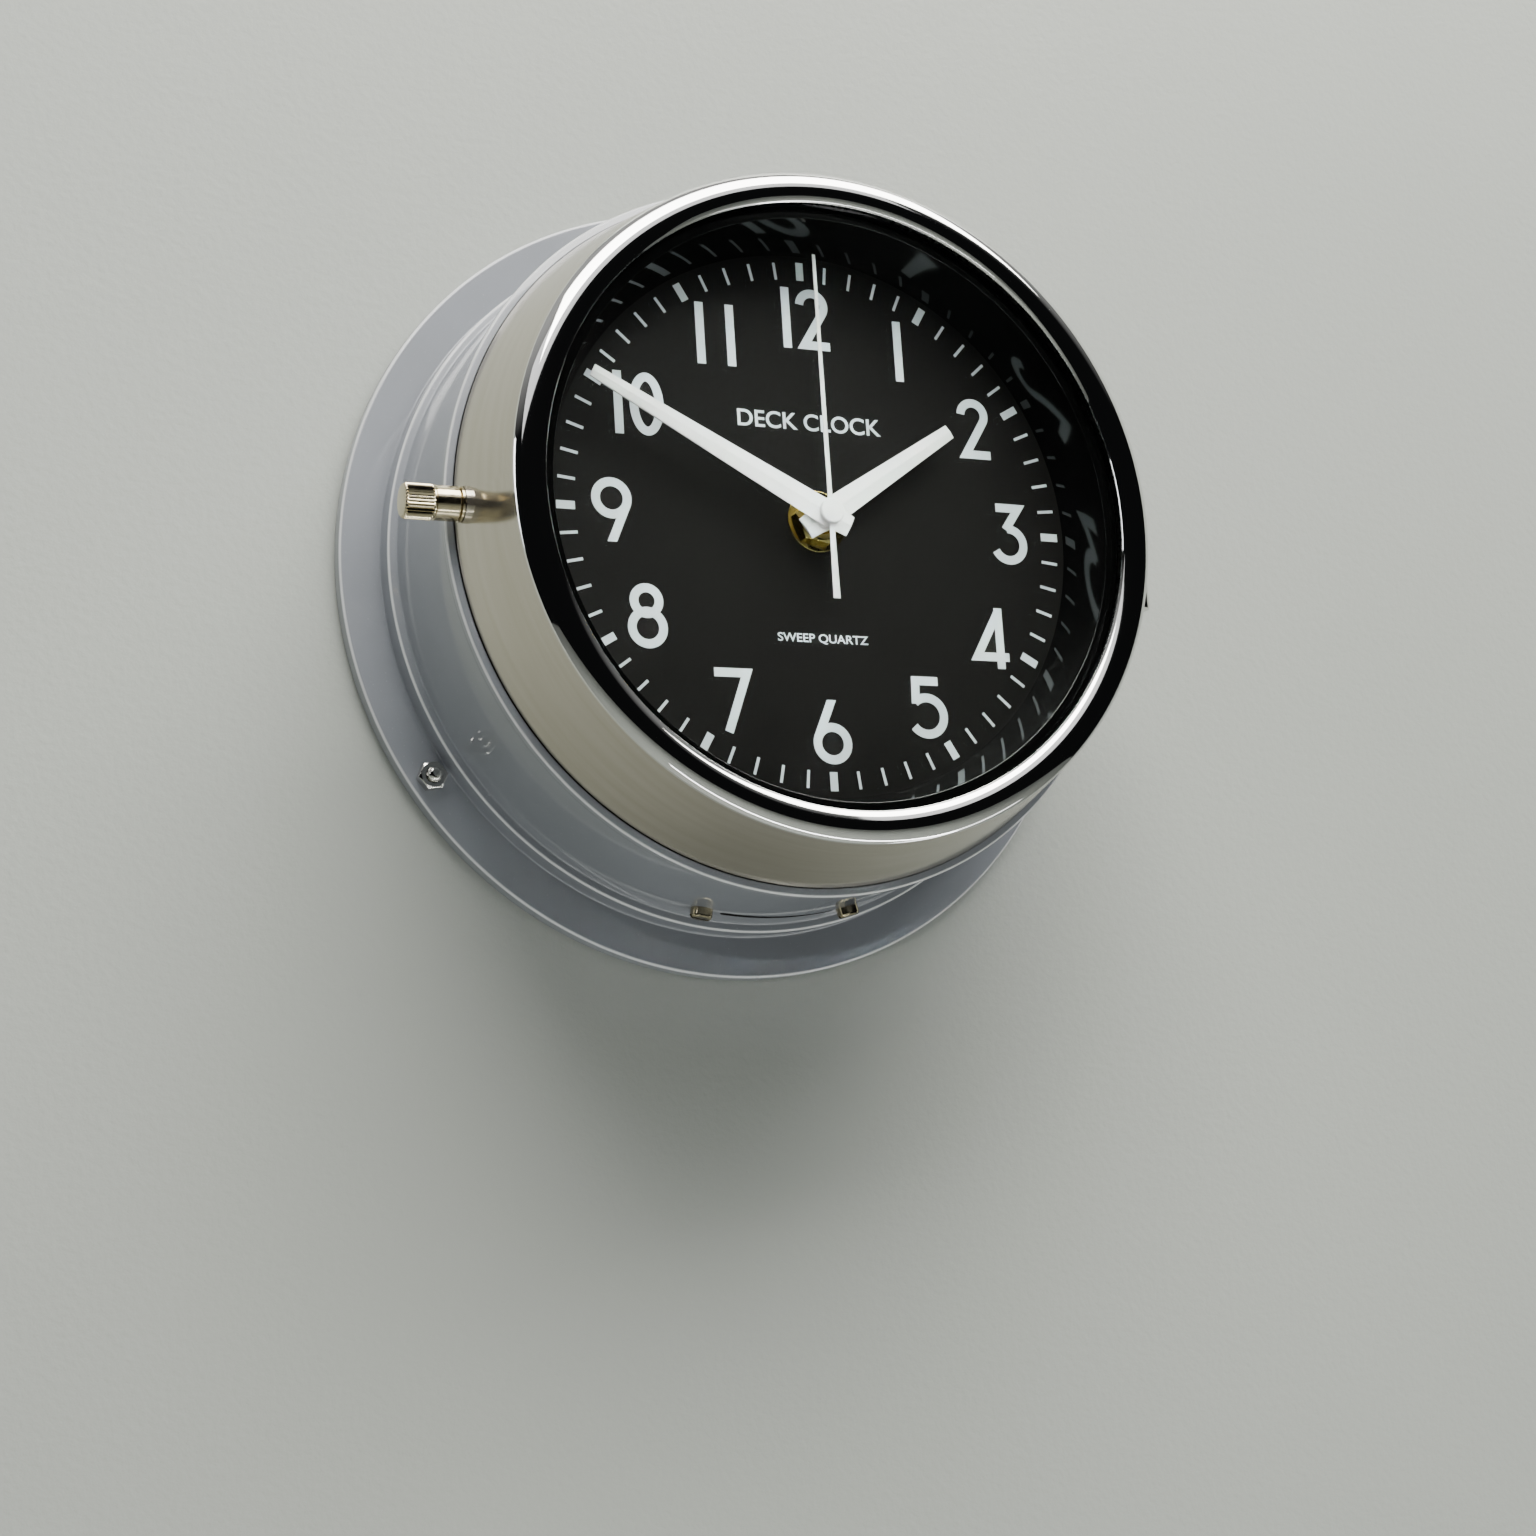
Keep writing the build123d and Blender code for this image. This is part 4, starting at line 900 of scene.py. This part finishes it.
def dial_print():
    """Numerals, sixty minute strokes and two plain words, printed proud of the dial by a film of ink.
    Crossing strokes differ by a few microns, so that no two faces coincide."""
    parts = []
    for digit, x, z in numeral_places:
        for k, (path, closed, level_ends) in enumerate(figure(digit)):
            parts.append(stroke(path + (x, z), numeral_stroke, print_height + 0.012 * k, closed, level_ends))
    for minute in range(60):
        hour = minute % 5 == 0
        spoke = np.array(place_at(1.0, minute * 6))[[0, 2]]
        ends = line(spoke * mark_foot, spoke * (hour_mark_tip if hour else minute_mark_tip))
        parts.append(stroke(ends, hour_mark_width if hour else minute_mark_width, print_height))
    parts.append(words("DECK CLOCK", height=4.6, width=41.0, x=0.0, z=27.0, bold=0.012))
    parts.append(words("SWEEP QUARTZ", height=2.7, width=25.5, x=-0.3, z=-31.5, bold=0.012))
    piece = joined("dial_print", parts, print_white)
    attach(piece, "case")
    return piece


# ---------------------------------------------------------------- hands
def creased_hand(name, node, length, tail, root_width, tip_width, hub, bore, back, angle):
    """Tapered hand folded to a shallow ridge: across the hand the front stands hand_crease at the middle
    and falls by hand_fall per root width to each side; along it the half width runs straight from the
    root to the tip and to the square tail."""
    along = np.array([-tail, -tail + 0.05, -tail / 2, 0, 0.05, length * 0.25, length * 0.5, length * 0.75,
                      length - 0.05, length])
    half = np.interp(along, [-tail, 0, length], [root_width * 0.4, root_width / 2, tip_width / 2])
    across = np.array([-1, -0.97, -0.5, -0.04, 0, 0.04, 0.5, 0.97, 1])
    x = across[:, None] * half[None]
    front = hand_crease - hand_fall * np.abs(x) / root_width
    top = np.stack([x, -(back + front), np.broadcast_to(along, x.shape)], -1)
    under = np.stack([x, np.full(x.shape, -float(back)), np.broadcast_to(along, x.shape)], -1)[::-1]
    tube = capped(np.concatenate([top, under]))
    blade = skin("blade", tube, hand_white, closed_rows=True, closed_columns=False)
    low, high = back - 0.3, back + 0.6
    boss = lathe("boss", rounded([(bore, low), (hub, low), (hub, high, 0.15), (bore, high)]), hand_white,
                 turns=72)
    piece = joined(name, [blade, boss], hand_white)
    piece.data.transform(Matrix.Rotation(math.radians(angle), 4, "Y"))
    return install(piece, node)


def sweep_hand():
    """Thin second hand, 0.84 mm wide at the tip, 1.24 mm at the arbor and 1.9 mm at the tail: the half
    width runs straight between them, under a flat face with bevelled edges."""
    along = np.array([-second_tail, 0.1 - second_tail, 0.0, second_length / 2, second_length - 0.1,
                      second_length])
    half = np.interp(along, [-second_tail, 0, second_length], [0.95, 0.62, 0.42])
    section = np.array([(-1, 0), (-1, 0.24), (-0.8, 0.3), (0.8, 0.3), (1, 0.24), (1, 0)])
    x = section[:, :1] * half[None]
    y = -(second_back + np.repeat(section[:, 1:], len(along), 1))
    tube = capped(np.stack([x, y, np.broadcast_to(along, x.shape)], -1))
    piece = skin("sweep_hand", tube, hand_white, closed_rows=True, closed_columns=False)
    piece.data.transform(Matrix.Rotation(math.radians(second_angle), 4, "Y"))
    return install(piece, "second_hand")


def hand_cap():
    """Round white cap in front of the hands, with its collar on the arbor."""
    dome = rounded([(0.01, cap_back), (cap_radius, cap_back), (cap_radius, cap_front - 0.3, 0.5),
                    (0.01, cap_front)])
    ring = rounded([(0.5, collar_back), (collar_radius, collar_back), (collar_radius, cap_back),
                    (0.5, cap_back)])
    cap = lathe("cap", dome, hand_white, turns=96)
    collar = lathe("collar", ring, hand_white, turns=48)
    return install(joined("hand_cap", [cap, collar], hand_white), "second_cap")


def dial_fixing():
    """Polished washer under the hexagon nut that clamps the movement to the dial."""
    seat = dial_front + bush_washer_thickness
    washer = rounded([(bush_radius, dial_front), (bush_washer_radius, dial_front),
                      (bush_washer_radius, seat, 0.25), (bush_radius, seat)])
    install(lathe("brass_washer", washer, brass, turns=120), "bush_washer")
    nut = hexagon_nut("brass_nut", bush_nut_flats, seat, seat + bush_nut_height, bush_radius, 0.9, brass,
                      turn=10.0)
    install(nut, "bush_nut")


flanged_case()
flange_nuts()
wall_studs()
slot_screws()
spun_bezel()
flat_glass()
funnel_surround()
knurled_screw()
dial_disc()
dial_print()
creased_hand("hour_pointer", "hour_hand", length=46.0, tail=6.8, root_width=7.4, tip_width=3.9,
             hub=3.6, bore=2.5, back=hour_back, angle=hour_angle)
creased_hand("minute_pointer", "minute_hand", length=71.0, tail=6.8, root_width=7.2, tip_width=3.3,
             hub=2.6, bore=1.4, back=minute_back, angle=minute_angle)
sweep_hand()
hand_cap()
dial_fixing()

smoothed("case_hinge_leaf", chrome)
smoothed("bezel_hinge_leaf", chrome)
smoothed("hinge_pin", spring_steel)
smoothed("hinge_screws", chrome)
smoothed("hinge_rivets", chrome)
smoothed("screw_pad", nickel_bezel)
smoothed("screw_washer", warm_nickel)
smoothed("battery", film)
smoothed("movement_back_cover", abs_black)
smoothed("setting_knob", acetal)

kept_finishes = {
    galvanised: ("wall_plate",),
    foam: ("plate_gasket",),
    rubber: ("slot_cover", "front_gasket", "glass_gasket", "bush_rubber"),
    zinc: ("slot_nuts", "surround_screws"),
    spring_steel: ("retaining_ring", "battery_contacts", "crystal", "works_post"),
    brass: ("screw_insert", "centre_bush"),
    abs_black: ("movement_front_cover",),
    acetal: ("train_bridge", "coil_bobbin", "second_wheel", "centre_wheel", "hour_wheel", "third_wheel",
             "between_wheel", "rotor", "works_wheel", "setting_wheel"),
    board: ("circuit_board",),
    chip_black: ("chip",),
    soft_iron: ("stator",),
    copper: ("coil_winding",),
}
for material, names in kept_finishes.items():
    for name in names:
        for holder in nodes[name].material_slots:
            holder.material = material


# ---------------------------------------------------------------- wall, floor, light and camera
def room_plane(name, corners, material):
    """Flat rectangle of the room, from its corners in metres."""
    mesh = bpy.data.meshes.new(name)
    mesh.from_pydata(corners, [], [(0, 1, 2, 3)])
    mesh.materials.append(material)
    piece = bpy.data.objects.new(name, mesh)
    bpy.context.scene.collection.objects.link(piece)
    piece.visible_shadow = False
    return piece


def lamp(name, place, aim, size, power, colour):
    """Soft box at a place, turned towards a point, all in metres."""
    light = bpy.data.lights.new(name, "AREA")
    light.shape, light.size, light.size_y = "RECTANGLE", size[0], size[1]
    light.energy, light.color = power, linear(colour)[:3]
    holder = bpy.data.objects.new(name, light)
    bpy.context.scene.collection.objects.link(holder)
    toward = Vector(place) - Vector(aim)
    holder.matrix_world = Matrix.Translation(place) @ toward.to_track_quat("Z", "Y").to_matrix().to_4x4()
    return holder


wall_back, reach, floor_drop = 0.0004, 4.0, -1.3
paint = emulsion()
room_plane("wall", [(-reach, wall_back, floor_drop), (reach, wall_back, floor_drop),
                    (reach, wall_back, reach), (-reach, wall_back, reach)], paint)
room_plane("floor", [(-reach, -reach, floor_drop), (reach, -reach, floor_drop),
                     (reach, reach, floor_drop), (-reach, reach, floor_drop)], paint)

# The ceiling panels light the wall, the flange and the top of the rim; the strips draw the lines of
# light on the skirt and faint lines along the drum's edges, where the enamel's painted highlights carry
# most of the brightness; the fill and the spot lift the dial and the hands and are kept out of
# reflections; the rear fill is for views from behind the wall.
lamp("ceiling panel", (0.2, -0.76, 1.22), (0.0, -0.04, 0.1), (1.8, 0.9), 72.0, "#FFFDF8")
lamp("front ceiling panel", (-0.2, -1.8, 1.4), (0.0, -0.05, 0.0), (2.8, 0.8), 9.0, "#FFFFFF")
lamp("left strip", (-1.25, -0.45, 0.3), (0.0, -0.05, 0.0), (0.09, 0.6), 1.2, "#FBFCFF")
lamp("low strip", (0.25, -0.55, -1.0), (0.0, -0.05, 0.0), (1.6, 0.04), 3.2, "#FFFFFF")
lamp("sill strip", (0.15, -0.1, -0.42), (0.1, -0.4, 0.1), (1.0, 0.05), 0.5, "#FFFFFF")
fill = lamp("front fill", (0.3, -2.6, 0.5), (0.0, -0.05, -0.1), (2.0, 2.0), 10.0, "#FFFFFF")
fill.visible_glossy = False
spot = lamp("dial spot", (-0.3, -2.2, 0.3), (0.0, -0.066, 0.0), (0.06, 0.06), 0.09, "#FFFFFF")
spot.data.spread, spot.visible_glossy = math.radians(5.0), False
lamp("rear fill", (0.5, 1.6, 0.8), (0.0, 0.0, 0.0), (1.2, 1.2), 14.0, "#FFFFFF")

# The rest of the room: dark below and pale above, where it lights the clock and shows in the metal.
# Past the wall the camera sees an even pale backdrop instead.
world = bpy.data.worlds.new("room")
bpy.context.scene.world = world
world.use_nodes = True
sky = world.node_tree
sky.nodes.clear()
direction = add(sky, "ShaderNodeTexCoord").outputs["Generated"]
height = add(sky, "ShaderNodeSeparateXYZ", {"Vector": direction}).outputs["Z"]
rise = spread(sky, height, 0.0, 1.0, 0.45, 0.8)
glow = add(sky, "ShaderNodeBackground", {"Color": blend(sky, rise, "#1A1B1C", "#F6F6F4"), "Strength": 0.5})
backdrop = add(sky, "ShaderNodeBackground", {"Color": linear("#B4B7B4"), "Strength": 1.0})
seen = add(sky, "ShaderNodeLightPath").outputs["Is Camera Ray"]
both = add(sky, "ShaderNodeMixShader", {
    0: seen, 1: glow.outputs["Background"], 2: backdrop.outputs["Background"]})
add(sky, "ShaderNodeOutputWorld", {"Surface": both.outputs["Shader"]})

camera_data = bpy.data.cameras.new("camera")
camera_data.sensor_width = 36.0
camera_data.lens = 65.807
camera_data.clip_start, camera_data.clip_end = 0.02, 30.0
camera = bpy.data.objects.new("camera", camera_data)
bpy.context.scene.collection.objects.link(camera)
camera.location = (-0.302857, -0.695723, -0.211747)
camera.rotation_euler = tuple(math.radians(a) for a in (101.95619, 3.55934, -23.58854))
bpy.context.scene.camera = camera
